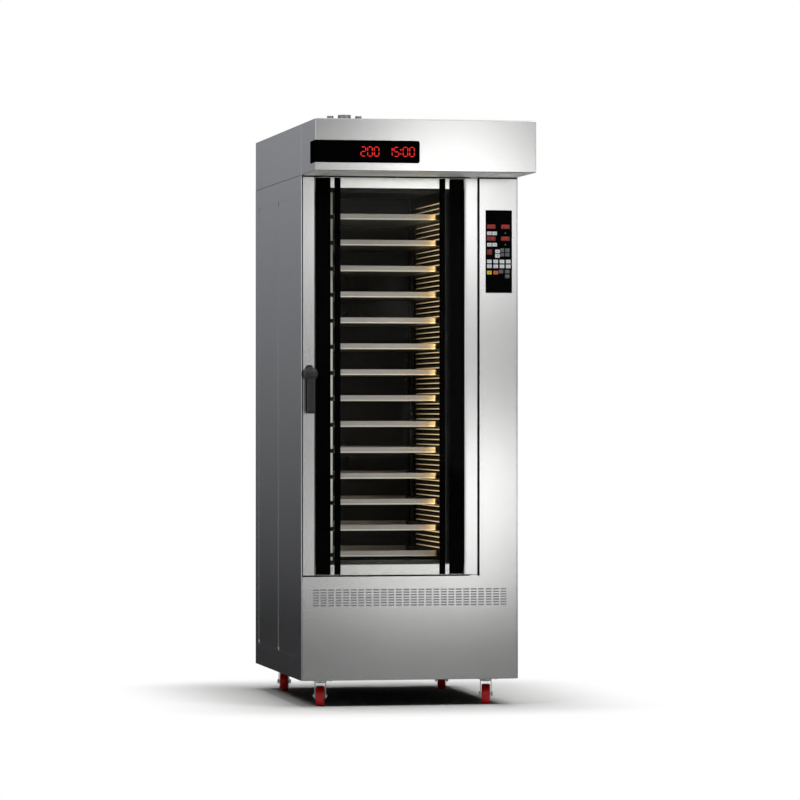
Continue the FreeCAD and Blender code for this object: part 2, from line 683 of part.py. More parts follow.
def rear_panel():
    """Rear sheet with vent slots over the motors and the hole of the supply gland."""
    body = new_body("rear_sheet", y="rear_face - skin")
    face = sketch_on(body, "XZ_Plane", "rear_face")
    rectangle(face, ("left + skin", "right - skin"), ("panel_base", "hood_under"))
    pad(body, face, "rear_face_pad", "skin", reverse=True)
    hole = sketch_on(body, "XZ_Plane", "gland_hole")
    circle(hole, "right - gland_inset", "base + gland_height", "gland_radius + run_fit")
    pocket(body, hole, "gland_hole_cut", "2 * skin")
    slot = sketch_on(body, "XZ_Plane", "rear_slot")
    start = "-(rear_slot_columns - 1) * rear_slot_spacing_across / 2 - rear_slot_length / 2"
    rectangle(slot, (start, f"{start} + rear_slot_length"),
              ("base + rear_slot_base", "base + rear_slot_base + rear_slot_height"))
    first = pocket(body, slot, "rear_slot_cut", "2 * skin")
    repeat(body, [first], "rear_slots", "X_Axis", "rear_slot_spacing_across", "rear_slot_columns",
           ("Z_Axis", "rear_slot_spacing_up", "rear_slot_rows"))
    keep(body, "rear_panel")


def cable_gland():
    """Supply gland through the rear panel, with its locking flange inside."""
    place = ("right - gland_inset", "base + gland_height")
    barrel = cylinder("gland_barrel", "gland_radius", "y", place, "back - gland_length", "back")
    flange = cylinder("gland_flange_disc", "gland_flange", "y", place,
                      "rear_face - skin - gland_flange_thick", "rear_face - skin")
    bore = cylinder("gland_hollow", "gland_bore", "y", place, "back - gland_length - overcut",
                    "back + overcut")
    keep(cut("gland", fuse("gland_blank", barrel, flange), bore), "cable_gland")


def facade_frame():
    """Steel frame round the oven mouth, with the slot that the latch tongue passes through."""
    plate = box("facade_plate", ("left + skin", "column_left + facade_lap"), ("facade", "facade_back"),
                ("plinth_top - facade_drop", "hood_under"))
    through = ("facade - overcut", "facade_back + overcut")
    mouth = box("facade_mouth", ("cavity_left", "mouth_right"), through, ("mouth_bottom", "mouth_top"))
    half_width = "tongue_width / 2 + tongue_slot_gap"
    half_length = "tongue_length / 2 + tongue_slot_gap"
    slot = box("tongue_slot", (f"latch_across - ({half_width})", f"latch_across + {half_width}"), through,
               (f"latch_up - ({half_length})", f"latch_up + {half_length}"))
    keep(cut("facade_plate_open", plate, mouth, slot), "facade_frame")


def fan_heights():
    """The two fans' names and the heights of their axes."""
    return (("lower", "fan_middle - fan_spacing / 2"), ("upper", "fan_middle + fan_spacing / 2"))


def shaft_holes(name, low, high):
    """Cutters for the two fan shafts between two depths."""
    return [cylinder(f"{name}_{level}", "shaft_radius + shaft_hole_gap", "y", ("rack_middle", up), low, high)
            for level, up in fan_heights()]


def cavity_liner():
    """Steel box of the oven cavity, open at the front, with holes for the fan shafts and the steam flue."""
    outer = box("liner_outer", ("cavity_left - wall", "cavity_right + wall"), ("facade_back", "liner_rear"),
                ("cavity_floor - wall", "cavity_ceiling + wall"))
    inner = box("liner_inner", ("cavity_left", "cavity_right"), ("facade_back - overcut", "liner_back"),
                ("cavity_floor", "cavity_ceiling"))
    steam = cylinder("liner_steam_hole", "flue_radius - flue_wall", "z", ("flue_across", "flue_along"),
                     "cavity_ceiling - overcut", "cavity_ceiling + wall + overcut")
    holes = shaft_holes("liner_shaft_hole", "liner_back - overcut", "liner_rear + overcut")
    keep(cut("liner", outer, inner, steam, *holes), "cavity_liner")


def insulation_slabs():
    """Mineral wool slabs left, right, above, below and behind the cavity."""
    level = ("cavity_floor - wall", "cavity_ceiling + wall")
    across = ("side_inner", "column_left")
    slab_left = box("wool_left", ("side_inner", "cavity_left - wall"),
                    ("facade_back + latch_room", "liner_rear"), level)
    slab_right = box("wool_right", ("cavity_right + wall", "column_left"),
                     ("facade_back", "liner_rear"), level)
    slab_low = box("wool_low", across, ("facade_back", "liner_rear"), ("plinth_top", "cavity_floor - wall"))
    slab_top = box("wool_top", across, ("facade_back", "liner_rear"), ("cavity_ceiling + wall", "hood_under"))
    steam = cylinder("wool_steam_hole", "flue_radius + pipe_play", "z", ("flue_across", "flue_along"),
                     "cavity_ceiling + wall - overcut", "hood_under + overcut")
    slab_rear = box("wool_rear", across, ("liner_rear", "motor_face"), ("plinth_top", "hood_under"))
    holes = shaft_holes("wool_shaft_hole", "liner_rear - overcut", "motor_face + overcut")
    slabs = group("wool", slab_left, slab_right, slab_low, cut("wool_top_open", slab_top, steam),
                  cut("wool_rear_open", slab_rear, *holes))
    keep(slabs, "insulation_slabs")


def roof_box():
    """Roof cover over the cabinet, with a flanged underside and holes for the three pipes."""
    blank = box("roof_blank", ("left", "right"), ("front", "back"), ("hood_under", "roof"))
    front = value("front")
    under = value("hood_under")
    outer = fillet("roof_outer", blank, "hood_edge",
                   lambda s: all_but(s, lambda p: near(p.y, front), lambda p: near(p.z, under)))
    seamed = fillet("roof_seamed", outer, "seam_edge",
                    lambda s: edges_where(s, lambda p: near(p.y, front)
                                          and not near(p.z, under)))
    inner = box("roof_inner", ("left + skin", "right - skin"), ("front + skin", "back - skin"),
                ("hood_under + skin", "roof - skin"))
    hatch = box("roof_hatch", ("left + roof_flange", "right - roof_flange"),
                ("facade_back + roof_flange", "back - roof_flange"),
                ("hood_under - overcut", "hood_under + 2 * skin"))
    high = ("roof - skin - overcut", "roof + overcut")
    holes = [cylinder(f"roof_hole_{number}", f"{radius} + pipe_play", "z", (across, "flue_along"), *high)
             for number, (across, radius) in enumerate(roof_pipe_places())]
    keep(cut("roof_cover", seamed, inner, hatch, *holes), "roof_box")


def roof_pipe_places():
    """Position across and radius of the steam flue and the two small pipes beside it."""
    return (("flue_across", "flue_radius"), ("flue_across - pipe_spacing", "pipe_radius"),
            ("flue_across + pipe_spacing", "pipe_radius"))


def canopy():
    """Hood standing out over the door, a closed sheet box with a cut-out for the display strip."""
    blank = box("canopy_blank", ("left", "right"), ("hood_front", "front"), ("hood_under", "roof"))
    front = value("front")
    outer = fillet("canopy_outer", blank, "hood_edge", lambda s: all_but(s, lambda p: near(p.y, front)))
    seamed = fillet("canopy_seamed", outer, "seam_edge",
                    lambda s: edges_where(s, lambda p: near(p.y, front)))
    inner = box("canopy_inner", ("left + skin", "right - skin"), ("hood_front + skin", "front + overcut"),
                ("hood_under + skin", "roof - skin"))
    openings = strip_legs("canopy_cut", "skin + strip_gap", "overcut", "strip_gap")
    keep(cut("canopy_shell", seamed, inner, *openings), "canopy")


def strip_legs(name, thick, proud, play):
    """The front and side legs of the wrap-round strip, with rounded free ends."""
    up = (f"strip_bottom - {play}", f"strip_top + {play}")
    front_leg = box(f"{name}_front", (f"left - ({proud})", f"left + strip_length + {play}"),
                    (f"hood_front - ({proud})", f"hood_front + {thick}"), up)
    side_leg = box(f"{name}_side", (f"left - ({proud})", f"left + {thick}"),
                   (f"hood_front - ({proud})", f"hood_front + strip_side_length + {play}"), up)
    end_across = value(f"left + strip_length + {play}")
    end_along = value(f"hood_front + strip_side_length + {play}")
    return (fillet(f"{name}_front_soft", front_leg, "strip_corner",
                   lambda s: along(s, 1, lambda p: near(p.x, end_across))),
            fillet(f"{name}_side_soft", side_leg, "strip_corner",
                   lambda s: along(s, 0, lambda p: near(p.y, end_along))))


def display_strip():
    """Black display strip let into the hood round its front left corner."""
    legs = fuse("strip_blank", *strip_legs("strip", "strip_thick", "-strip_sink", "0 * skin"))
    left = value("left + strip_sink")
    corner = value("hood_front + strip_sink")
    soft = fillet("strip_soft", legs, "hood_edge",
                  lambda s: along(s, 2, lambda p: near(p.x, left) and near(p.y, corner)))
    keep(soft, "display_strip")


def air_duct_panel():
    """Right cavity wall with horizontal air slots, each with a lip below it."""
    body = new_body("duct_sheet", x="duct_face")
    face = sketch_on(body, "YZ_Plane", "duct_plate")
    rectangle(face, ("facade_back", "baffle"), ("cavity_floor", "cavity_ceiling"))
    pad(body, face, "duct_plate_pad", "wall")
    run = ("tray_front + louvre_margin", "tray_back - post_tail - post_depth - louvre_margin")
    low = "cavity_floor + louvre_base"
    lip_profile = sketch_on(body, "YZ_Plane", "louvre_lip_face")
    rectangle(lip_profile, run, (f"{low} - wall", low))
    lip = pad(body, lip_profile, "louvre_lip_pad", "louvre_lip", reverse=True)
    slot = sketch_on(body, "YZ_Plane", "louvre_slot_face")
    rectangle(slot, run, (low, f"{low} + louvre_slot"))
    opening = pocket(body, slot, "louvre_slot_cut", "2 * wall", reverse=True)
    repeat(body, [lip, opening], "louvres", "Z_Axis", "louvre_spacing", "louvre_count")
    keep(body, "air_duct_panel")


def fan_baffle():
    """Sheet between the trays and the fans, with a star of intake slots in front of each fan."""
    plate = box("baffle_plate", ("cavity_left", "duct_face + wall"), ("baffle", "baffle + wall"),
                ("cavity_floor", "cavity_ceiling"))
    stars = []
    for level, up in fan_heights():
        body = new_body(f"intake_{level}", x="rack_middle", y="baffle - overcut", z=up)
        ray = sketch_on(body, "XZ_Plane", f"intake_ray_{level}")
        rectangle(ray, ("-intake_slot / 2", "intake_slot / 2"), ("intake_inner", "intake_outer"))
        first = pad(body, ray, f"intake_ray_pad_{level}", "wall + 2 * overcut", reverse=True)
        ring_of(body, [first], f"intake_rays_{level}", "Y_Axis", "intake_count")
        stars.append(body)
    keep(cut("baffle_sheet", plate, group("intake_stars", *stars)), "fan_baffle")


def fan_wheel(level, up):
    """Centrifugal fan: shaft, hub sleeve, rear disc and flat radial blades."""
    body = new_body(f"fan_{level}", x="rack_middle", y="liner_back - fan_wall_gap", z=up)
    disc = sketch_on(body, "XZ_Plane", f"fan_disc_{level}")
    circle(disc, "0 * skin", "0 * skin", "fan_radius")
    pad(body, disc, f"fan_disc_pad_{level}", "fan_disc")
    sleeve = sketch_on(body, "XZ_Plane", f"fan_sleeve_{level}")
    circle(sleeve, "0 * skin", "0 * skin", "hub_sleeve_radius")
    pad(body, sleeve, f"fan_sleeve_pad_{level}", "fan_disc + fan_depth / 2")
    shaft = sketch_on(body, "XZ_Plane", f"fan_shaft_{level}")
    circle(shaft, "0 * skin", "0 * skin", "shaft_radius")
    pad(body, shaft, f"fan_shaft_pad_{level}", "fan_wall_gap + wall + rear_insulation + shaft_seat",
        reverse=True)
    blade = sketch_on(body, "XZ_Plane", f"fan_blade_{level}")
    rectangle(blade, ("-blade_thick / 2", "blade_thick / 2"),
              ("fan_radius - blade_height", "fan_radius - blade_thick"))
    first = pad(body, blade, f"fan_blade_pad_{level}", "fan_disc + fan_depth")
    ring_of(body, [first], f"fan_blades_{level}", "Y_Axis", "blade_count")
    keep(body, f"fan_wheel_{level}")


def fan_motors():
    """Two motors behind the rear insulation, each with a square flange and a bored shaft seat."""
    motors = []
    for level, up in fan_heights():
        half = "motor_flange / 2"
        flange = box(f"motor_flange_{level}", (f"rack_middle - {half}", f"rack_middle + {half}"),
                     ("motor_face", "motor_face + motor_flange_thick"), (f"{up} - {half}", f"{up} + {half}"))
        place = ("rack_middle", up)
        can = cylinder(f"motor_can_{level}", "motor_radius", "y", place, "motor_face",
                       "motor_face + motor_flange_thick + motor_length")
        bore = cylinder(f"motor_bore_{level}", "shaft_radius + run_fit", "y", place, "motor_face - overcut",
                        "motor_face + shaft_seat + overcut")
        motors.append(cut(f"motor_{level}", fuse(f"motor_blank_{level}", flange, can), bore))
    keep(group("motors", *motors), "fan_motors")


def heater_rings():
    """Two tubular heaters, each of two rings round a fan on terminal legs from the rear wall."""
    heaters = []
    for level, up in fan_heights():
        rings = []
        for turn, gap in enumerate(("heater_offset", "heater_offset + heater_spacing")):
            ring = doc.addObject("Part::Torus", f"heater_ring_{level}_{turn}")
            ring.Placement.Rotation = Rotation(Vector(1, 0, 0), -90)
            ring.setExpression("Radius1", bound("heater_radius"))
            ring.setExpression("Radius2", bound("heater_tube"))
            ring.setExpression("Placement.Base.x", bound("rack_middle"))
            ring.setExpression("Placement.Base.y", bound(f"liner_back - ({gap})"))
            ring.setExpression("Placement.Base.z", bound(up))
            rings.append(ring)
        ends = (("left", "rack_middle - heater_radius"), ("right", "rack_middle + heater_radius"))
        legs = [cylinder(f"heater_leg_{level}_{name}", "heater_leg", "y", (across, up),
                         "liner_back - heater_offset - heater_spacing", "liner_back")
                for name, across in ends]
        heaters.append(fuse(f"heater_{level}", *rings, *legs))
    keep(group("heaters", *heaters), "heater_rings")


def rack_posts():
    """Four slotted square tubes between the cavity's floor and ceiling that carry the runners."""
    posts = []
    ends = (("front", "tray_front - post_lead"), ("rear", "tray_back - post_tail - post_depth"))
    for side, across in (("left", "post_left - post_width"), ("right", "post_right")):
        for end, along_low in ends:
            name = f"post_{side}_{end}"
            body = new_body(name, x=across, y=along_low, z="cavity_floor")
            tube = sketch_on(body, "XY_Plane", f"{name}_tube")
            rectangle(tube, ("0 * skin", "post_width"), ("0 * skin", "post_depth"))
            rectangle(tube, ("post_sheet", "post_width - post_sheet"),
                      ("post_sheet", "post_depth - post_sheet"))
            pad(body, tube, f"{name}_pad", "cavity_ceiling - cavity_floor")
            slot = sketch_on(body, "XZ_Plane", f"{name}_slot")
            rectangle(slot, ("(post_width - post_slot_width) / 2", "(post_width + post_slot_width) / 2"),
                      ("first_tray_height", "first_tray_height + post_slot_height"))
            first = pocket(body, slot, f"{name}_slot_cut", "2 * post_sheet")
            repeat(body, [first], f"{name}_slots", "Z_Axis", "tray_spacing", "tray_count")
            posts.append(body)
    keep(group("posts", *posts), "rack_posts")


def tray_runners():
    """Angle runners on both sides, one pair for each tray, fixed to the inner faces of the posts."""
    sides = []
    edges = (("left", "post_left", "tray_left", "+"), ("right", "post_right", "tray_right", "-"))
    for side, post, edge, sign in edges:
        body = new_body(f"runner_{side}", y="tray_front - post_lead", z="cavity_floor + first_tray_height")
        angle = sketch_on(body, "XZ_Plane", f"runner_{side}_angle")
        upstand = f"{post} {sign} runner_sheet"
        ledge = f"{edge} {sign} runner_ledge"
        outline(angle, [(post, "-runner_sheet"), (ledge, "-runner_sheet"), (ledge, "0 * skin"),
                        (upstand, "0 * skin"), (upstand, "runner_upstand"), (post, "runner_upstand")])
        first = pad(body, angle, f"runner_{side}_pad", "tray_depth + post_lead - post_tail", reverse=True)
        repeat(body, [first], f"runners_{side}", "Z_Axis", "tray_spacing", "tray_count")
        sides.append(body)
    keep(group("runners", *sides), "tray_runners")


def baking_trays():
    """Shallow trays with rounded corners, one on each pair of runners."""
    body = new_body("trays", x="tray_left", y="tray_front", z="cavity_floor + first_tray_height")
    plan = sketch_on(body, "XY_Plane", "tray_plan")
    rectangle(plan, ("0 * skin", "tray_width"), ("0 * skin", "tray_depth"))
    block = pad(body, plan, "tray_block", "tray_rim")
    doc.recompute()
    corners = body.newObject("PartDesign::Fillet", "tray_corners")
    corners.Base = (block, [f"Edge{number}" for number in along(block.Shape, 2)])
    corners.setExpression("Radius", bound("tray_corner"))
    doc.recompute()
    rim = value("tray_rim")
    open_top = [f"Face{number}" for number, face in enumerate(corners.Shape.Faces, start=1)
                if near(face.CenterOfMass.z, rim)]
    shell = body.newObject("PartDesign::Thickness", "tray_shell")
    shell.Base = (corners, open_top)
    shell.Reversed = True
    shell.setExpression("Value", bound("tray_sheet"))
    stack = repeat(body, [], "tray_stack", "Z_Axis", "tray_spacing", "tray_count")
    stack.TransformMode = "Whole shape"
    keep(body, "baking_trays")


def lamp_bar():
    """Upright lamp bar behind the facade, beside the trays' right edge."""
    bar = box("lamp_block", ("mouth_right", "mouth_right + lamp_width"),
              ("facade_back", "facade_back + lamp_depth"),
              ("cavity_floor + lamp_margin", "cavity_ceiling - lamp_margin"))
    keep(bar, "lamp_bar")


def roof_pipes():
    """Steam flue from the cavity through the roof, and two small pipes, each on a roof collar."""
    pipes = []
    flue = ("flue_wall", "cavity_ceiling + wall", "flue_rise", "flue_collar")
    small = ("pipe_wall", "roof - pipe_drop", "pipe_rise", "pipe_collar")
    for number, (across, radius) in enumerate(roof_pipe_places()):
        thick, low, rise, collar = flue if radius == "flue_radius" else small
        place = (across, "flue_along")
        tube = cylinder(f"pipe_tube_{number}", radius, "z", place, low, f"roof + {rise}")
        ring = cylinder(f"pipe_ring_{number}", collar, "z", place, "roof", "roof + collar_thick")
        bore = cylinder(f"pipe_bore_{number}", f"{radius} - {thick}", "z", place, f"{low} - overcut",
                        f"roof + {rise} + overcut")
        pipes.append(cut(f"pipe_{number}", fuse(f"pipe_blank_{number}", tube, ring), bore))
    keep(group("pipes", *pipes), "roof_pipes")


def key_places():
    """Name of each key and its middle, measured from the bezel's left edge and from its top."""
    columns = [f"key_margin + {number} * key_spacing" for number in range(4)]
    places = []
    for row, name in (("key_row_one", "upper"), ("key_row_two", "middle")):
        places.append((f"key_{name}_one", "key_margin", row))
        places.append((f"key_{name}_two", "key_margin + key_pair_spacing", row))
    places.append(("key_step_up", "key_step_across", "key_row_three"))
    places.append(("key_step_down", "key_step_across", "key_row_four"))
    for row, name in (("key_row_five", "grid_high"), ("key_row_six", "grid_low")):
        for column, word in zip(columns, ("one", "two", "three", "four")):
            places.append((f"key_{name}_{word}", column, row))
    places.append(("key_start", columns[0], "key_row_seven"))
    places.append(("key_stop", columns[1], "key_row_seven"))
    return places


def display_places():
    """Left edge, top edge, width and height of each display window on the bezel."""
    far = "bezel_width - display_margin - display_width"
    windows = []
    for row in ("display_row_one", "display_row_two"):
        windows.append(("display_margin", row, "display_width", "display_height"))
        windows.append((far, row, "display_width", "display_height"))
    windows.append(("display_margin", "display_row_three", "small_display_width", "small_display_width"))
    return windows


def control_bezel():
    """Black control plate with sunk display windows and an opening for every key."""
    blank = box("bezel_plate", ("bezel_left", "bezel_right"), ("bezel_front", "bezel_back"),
                ("bezel_bottom", "bezel_top"))
    plate = fillet("bezel_plate_soft", blank, "bezel_corner", lambda s: along(s, 1))
    lip = box("bezel_rear_lip", ("bezel_left - bezel_lip", "bezel_right + bezel_lip"),
              ("front + skin", "front + skin + bezel_lip_thick"),
              ("bezel_bottom - bezel_lip", "bezel_top + bezel_lip"))
    cutters = []
    for name, across, down in key_places():
        across, up = f"bezel_left + {across}", f"bezel_top - {down}"
        half_width = "key_width / 2 + key_gap"
        half_height = "key_height / 2 + key_gap"
        cutters.append(box(f"{name}_opening", (f"{across} - ({half_width})", f"{across} + {half_width}"),
                           ("bezel_front - overcut", "bezel_back + overcut"),
                           (f"{up} - ({half_height})", f"{up} + {half_height}")))
    for number, (across, down, width, height) in enumerate(display_places()):
        cutters.append(box(f"display_window_{number}",
                           (f"bezel_left + {across}", f"bezel_left + {across} + {width}"),
                           ("bezel_front - overcut", "bezel_front + display_depth"),
                           (f"bezel_top - {down} - {height}", f"bezel_top - {down}")))
    openings = group("bezel_openings", *cutters)
    keep(cut("bezel", fuse("bezel_blank", plate, lip), openings), "control_bezel")


def control_keys():
    """Key caps that travel into the bezel, each with a retaining flange behind its opening."""
    for name, across, down in key_places():
        across, up = f"bezel_left + {across}", f"bezel_top - {down}"
        half_width = "key_width / 2"
        half_height = "key_height / 2"
        cap = box(f"{name}_cap", (f"{across} - {half_width}", f"{across} + {half_width}"),
                  ("bezel_front - key_proud", "bezel_back + run_gap + key_flange_thick"),
                  (f"{up} - {half_height}", f"{up} + {half_height}"))
        reach = "key_gap + key_flange"
        flange = box(f"{name}_flange",
                     (f"{across} - {half_width} - ({reach})", f"{across} + {half_width} + {reach}"),
                     ("bezel_back + run_gap", "bezel_back + run_gap + key_flange_thick"),
                     (f"{up} - {half_height} - ({reach})", f"{up} + {half_height} + {reach}"))
        face = value("bezel_front - key_proud")
        soft = fillet(f"{name}_soft", fuse(f"{name}_blank", cap, flange), "key_edge",
                      lambda s: edges_where(s, lambda p: near(p.y, face)))
        keep(soft, name)


def electrics_boxes():
    """Sheet cases: control electronics on the right side panel, and the power gear on the base pan."""
    wall_face = "right - skin - emboss_depth"
    depth = ("front + emboss_margin", "front + emboss_margin + control_box_depth")
    up = ("base + bezel_rise - control_box_height / 2", "base + bezel_rise + control_box_height / 2")
    control = box("control_case", (f"{wall_face} - control_box_width", wall_face), depth, up)
    control_room = box("control_case_room",
                       (f"{wall_face} - control_box_width + skin", f"{wall_face} + overcut"),
                       inside(depth), inside(up))
    across = ("-power_box_width / 2", "power_box_width / 2")
    depth = ("front + power_box_setback", "front + power_box_setback + power_box_depth")
    pan = "base + sill_sheet"
    power = box("power_case", across, depth, (pan, f"{pan} + power_box_height"))
    power_room = box("power_case_room", inside(across), inside(depth),
                     (f"{pan} - overcut", f"{pan} + power_box_height - skin"))
    cases = group("electrics", cut("control_shell", control, control_room),
                  cut("power_shell", power, power_room))
    keep(cases, "electrics_boxes")


def hinge_plates():
    """Flat plates above and below the door, each carrying a hinge pin."""
    half = "hinge_plate_width / 2"
    across = (f"hinge_across - {half}", f"hinge_across + {half}")
    depth = ("front", "facade")
    place = ("hinge_across", "hinge_along")
    low = box("hinge_low_plate", across, depth, ("plinth_top", "plinth_top + hinge_plate_thick"))
    low_pin = cylinder("hinge_low_pin", "hinge_pin_radius", "z", place, "plinth_top",
                       "door_bottom + hinge_pin_length")
    high = box("hinge_high_plate", across, depth, ("hood_under - hinge_plate_thick", "hood_under"))
    high_pin = cylinder("hinge_high_pin", "hinge_pin_radius", "z", place,
                        "door_top - hinge_pin_length", "hood_under")
    keep(group("hinges", fuse("hinge_low", low, low_pin), fuse("hinge_high", high, high_pin)), "hinge_plates")


def stile(side, low, high, glass_edge):
    """Hollow door stile, bevelled beside the glass."""
    blank = box(f"stile_{side}_blank", (low, high), ("front", "door_back"), ("door_bottom", "door_top"))
    edge = value(glass_edge)
    face = value("front")
    outer = chamfer(f"stile_{side}_outer", blank, "stile_bevel",
                    lambda s: along(s, 2, lambda p: near(p.x, edge) and near(p.y, face)))
    bevel_clear = "stile_bevel + door_sheet"
    hollow_low = bevel_clear if side == "right" else "door_sheet"
    hollow_high = bevel_clear if side == "left" else "door_sheet"
    hollow = box(f"stile_{side}_hollow", (f"{low} + {hollow_low}", f"{high} - ({hollow_high})"),
                 ("front + door_sheet", "door_back - door_sheet"),
                 ("door_bottom + stile_cap", "door_top - stile_cap"))
    return cut(f"stile_{side}", outer, hollow)


def door_frame():
    """Steel door frame: two hollow stiles and two channel rails, bored for the hinge pins and the spindle."""
    parts = [stile("left", "door_left", "stile_left", "stile_left"),
             stile("right", "stile_right", "door_right", "stile_right")]
    rails = (("low", "door_bottom", "door_bottom + rail_height"),
             ("high", "door_top - rail_height", "door_top"))
    for name, low, high in rails:
        blank = box(f"rail_{name}_blank", ("stile_left", "stile_right"), ("rail_front", "door_back"),
                    (low, high))
        hollow = box(f"rail_{name}_hollow", ("stile_left + door_sheet", "stile_right - door_sheet"),
                     ("rail_front + door_sheet", "door_back + overcut"),
                     (f"{low} + door_sheet", f"{high} - door_sheet"))
        parts.append(cut(f"rail_{name}", blank, hollow))
    place = ("hinge_across", "hinge_along")
    pin_hole = "hinge_pin_radius + run_fit"
    low_hole = cylinder("pin_hole_low", pin_hole, "z", place, "door_bottom - overcut",
                        "door_bottom + stile_cap + overcut")
    high_hole = cylinder("pin_hole_high", pin_hole, "z", place, "door_top - stile_cap - overcut",
                         "door_top + overcut")
    spindle_hole = cylinder("frame_spindle_hole", "spindle_radius + run_fit", "y",
                            ("latch_across", "latch_up"), "front - overcut", "door_back + overcut")
    keep(cut("frame", fuse("frame_blank", *parts), low_hole, high_hole, spindle_hole), "door_frame")


def door_panes():
    """Full-height outer pane between the stiles, and the inner pane against the inner skin."""
    outer = box("pane_outer", ("stile_left + glass_gap", "stile_right - glass_gap"),
                ("glass_front", "glass_front + outer_glass_thick"), ("door_bottom", "door_top"))
    keep(outer, "outer_glass")
    reach = "inner_glass_lap - skin_window_inset"
    inner = box("pane_inner", (f"cavity_left - ({reach})", f"mouth_right + {reach}"),
                ("door_back - inner_glass_thick", "door_back"),
                (f"mouth_bottom - ({reach})", f"mouth_top + {reach}"))
    keep(inner, "inner_glass")


def inner_skin():
    """Inner door sheet with the window opening and the spindle hole."""
    depth = ("door_back", "seal_face")
    plate = box("skin_plate", ("door_left + inner_skin_inset", "door_right - inner_skin_inset"), depth,
                ("door_bottom + inner_skin_inset", "door_top - inner_skin_inset"))
    through = ("door_back - overcut", "seal_face + overcut")
    window = box("skin_window", ("cavity_left + skin_window_inset", "mouth_right - skin_window_inset"),
                 through, ("mouth_bottom + skin_window_inset", "mouth_top - skin_window_inset"))
    hole = cylinder("skin_spindle_hole", "spindle_radius + run_gap", "y", ("latch_across", "latch_up"),
                    *through)
    keep(cut("skin_sheet", plate, window, hole), "inner_skin")


def door_gasket():
    """Silicone ring on the inner skin that seals round the oven mouth."""
    depth = ("seal_face", "seal_face + gasket_height")
    through = ("seal_face - overcut", "seal_face + gasket_height + overcut")
    near_edge = "gasket_offset"
    far_edge = "gasket_offset + gasket_width"
    outer = box("gasket_outer", (f"cavity_left - ({far_edge})", f"mouth_right + {far_edge}"), depth,
                (f"mouth_bottom - ({far_edge})", f"mouth_top + {far_edge}"))
    inner = box("gasket_inner", (f"cavity_left - {near_edge}", f"mouth_right + {near_edge}"), through,
                (f"mouth_bottom - {near_edge}", f"mouth_top + {near_edge}"))
    soft_outer = fillet("gasket_outer_soft", outer, "gasket_corner + gasket_width", lambda s: along(s, 1))
    soft_inner = fillet("gasket_inner_soft", inner, "gasket_corner", lambda s: along(s, 1))
    keep(cut("gasket", soft_outer, soft_inner), "door_gasket")


def handle():
    """Back plate on the stile, turning lever, and the spindle with its tongue behind the facade."""
    half = "handle_plate_width / 2"
    place = ("latch_across", "latch_up")
    plate = box("handle_back", (f"latch_across - {half}", f"latch_across + {half}"),
                ("front - handle_plate_thick", "front"),
                ("latch_up - handle_plate_under", "latch_up + handle_plate_over"))
    soft_plate = fillet("handle_back_soft", plate, "handle_round", lambda s: along(s, 1))
    hole = cylinder("handle_back_hole", "spindle_radius + run_gap", "y", place,
                    "front - handle_plate_thick - overcut", "front + overcut")
    keep(cut("handle_back_plate", soft_plate, hole), "handle_plate")

    hub_front = "front - handle_plate_thick - hub_length"
    hub = cylinder("hub_blank", "hub_radius", "y", place, hub_front, "front - handle_plate_thick - run_gap")
    grip = box("grip_blank", ("latch_across - grip_width / 2", "latch_across + grip_width / 2"),
               (hub_front, "grip_back"), ("latch_up - grip_reach", "latch_up"))
    top = value("latch_up")
    soft_grip = fillet("grip_soft", grip, "grip_edge", lambda s: all_but(s, lambda p: near(p.z, top)))
    face = value(hub_front)
    soft_hub = fillet("hub_soft", hub, "hub_edge", lambda s: edges_where(s, lambda p: near(p.y, face)))
    seat = cylinder("spindle_seat_bore", "spindle_radius + run_fit", "y", place,
                    "front - handle_plate_thick - spindle_seat", "front")
    keep(cut("lever", fuse("lever_blank", soft_hub, soft_grip), seat), "handle_lever")

    rod = cylinder("spindle_rod", "spindle_radius", "y", place, "front - handle_plate_thick - spindle_seat",
                   "tongue_front + tongue_thick")
    tongue = box("tongue_bar", ("latch_across - tongue_width / 2", "latch_across + tongue_width / 2"),
                 ("tongue_front", "tongue_front + tongue_thick"),
                 ("latch_up - tongue_length / 2", "latch_up + tongue_length / 2"))
    keep(fuse("spindle", rod, tongue), "latch_spindle")


def caster_places():
    """Name and swivel axis of each caster."""
    sides = (("left", "left + caster_inset"), ("right", "right - caster_inset"))
    ends = (("front", "front + caster_setback"), ("rear", "back - caster_setback"))
    return [(f"{end}_{side}", across, along_at) for end, along_at in ends for side, across in sides]


def caster_plates():
    """Top plates under the base pan, each with its swivel race and kingpin."""
    plates = []
    for name, across, along_at in caster_places():
        place = (across, along_at)
        flat = box(f"caster_plate_{name}",
                   (f"{across} - caster_plate_width / 2", f"{across} + caster_plate_width / 2"),
                   (f"{along_at} - caster_plate_depth / 2", f"{along_at} + caster_plate_depth / 2"),
                   ("base - caster_plate_thick", "base"))
        race = cylinder(f"caster_race_{name}", "race_radius", "z", place, "race_bottom", "base")
        head_top = "fork_top - fork_crown - run_gap"
        kingpin = cylinder(f"kingpin_{name}", "kingpin_radius", "z", place, head_top, "base")
        head = cylinder(f"kingpin_head_{name}", "kingpin_head", "z", place,
                        f"{head_top} - kingpin_head_thick", head_top)
        plates.append(fuse(f"caster_top_{name}", flat, race, kingpin, head))
    keep(group("caster_tops", *plates), "caster_plates")


def swing(shape):
    """Turn a caster's piece to the left about the upright through its own origin."""
    shape.Placement.Rotation = Rotation(Vector(0, 0, -1), value("caster_swing"))
    shape.setExpression("Placement.Rotation.Angle", bound("caster_swing"))


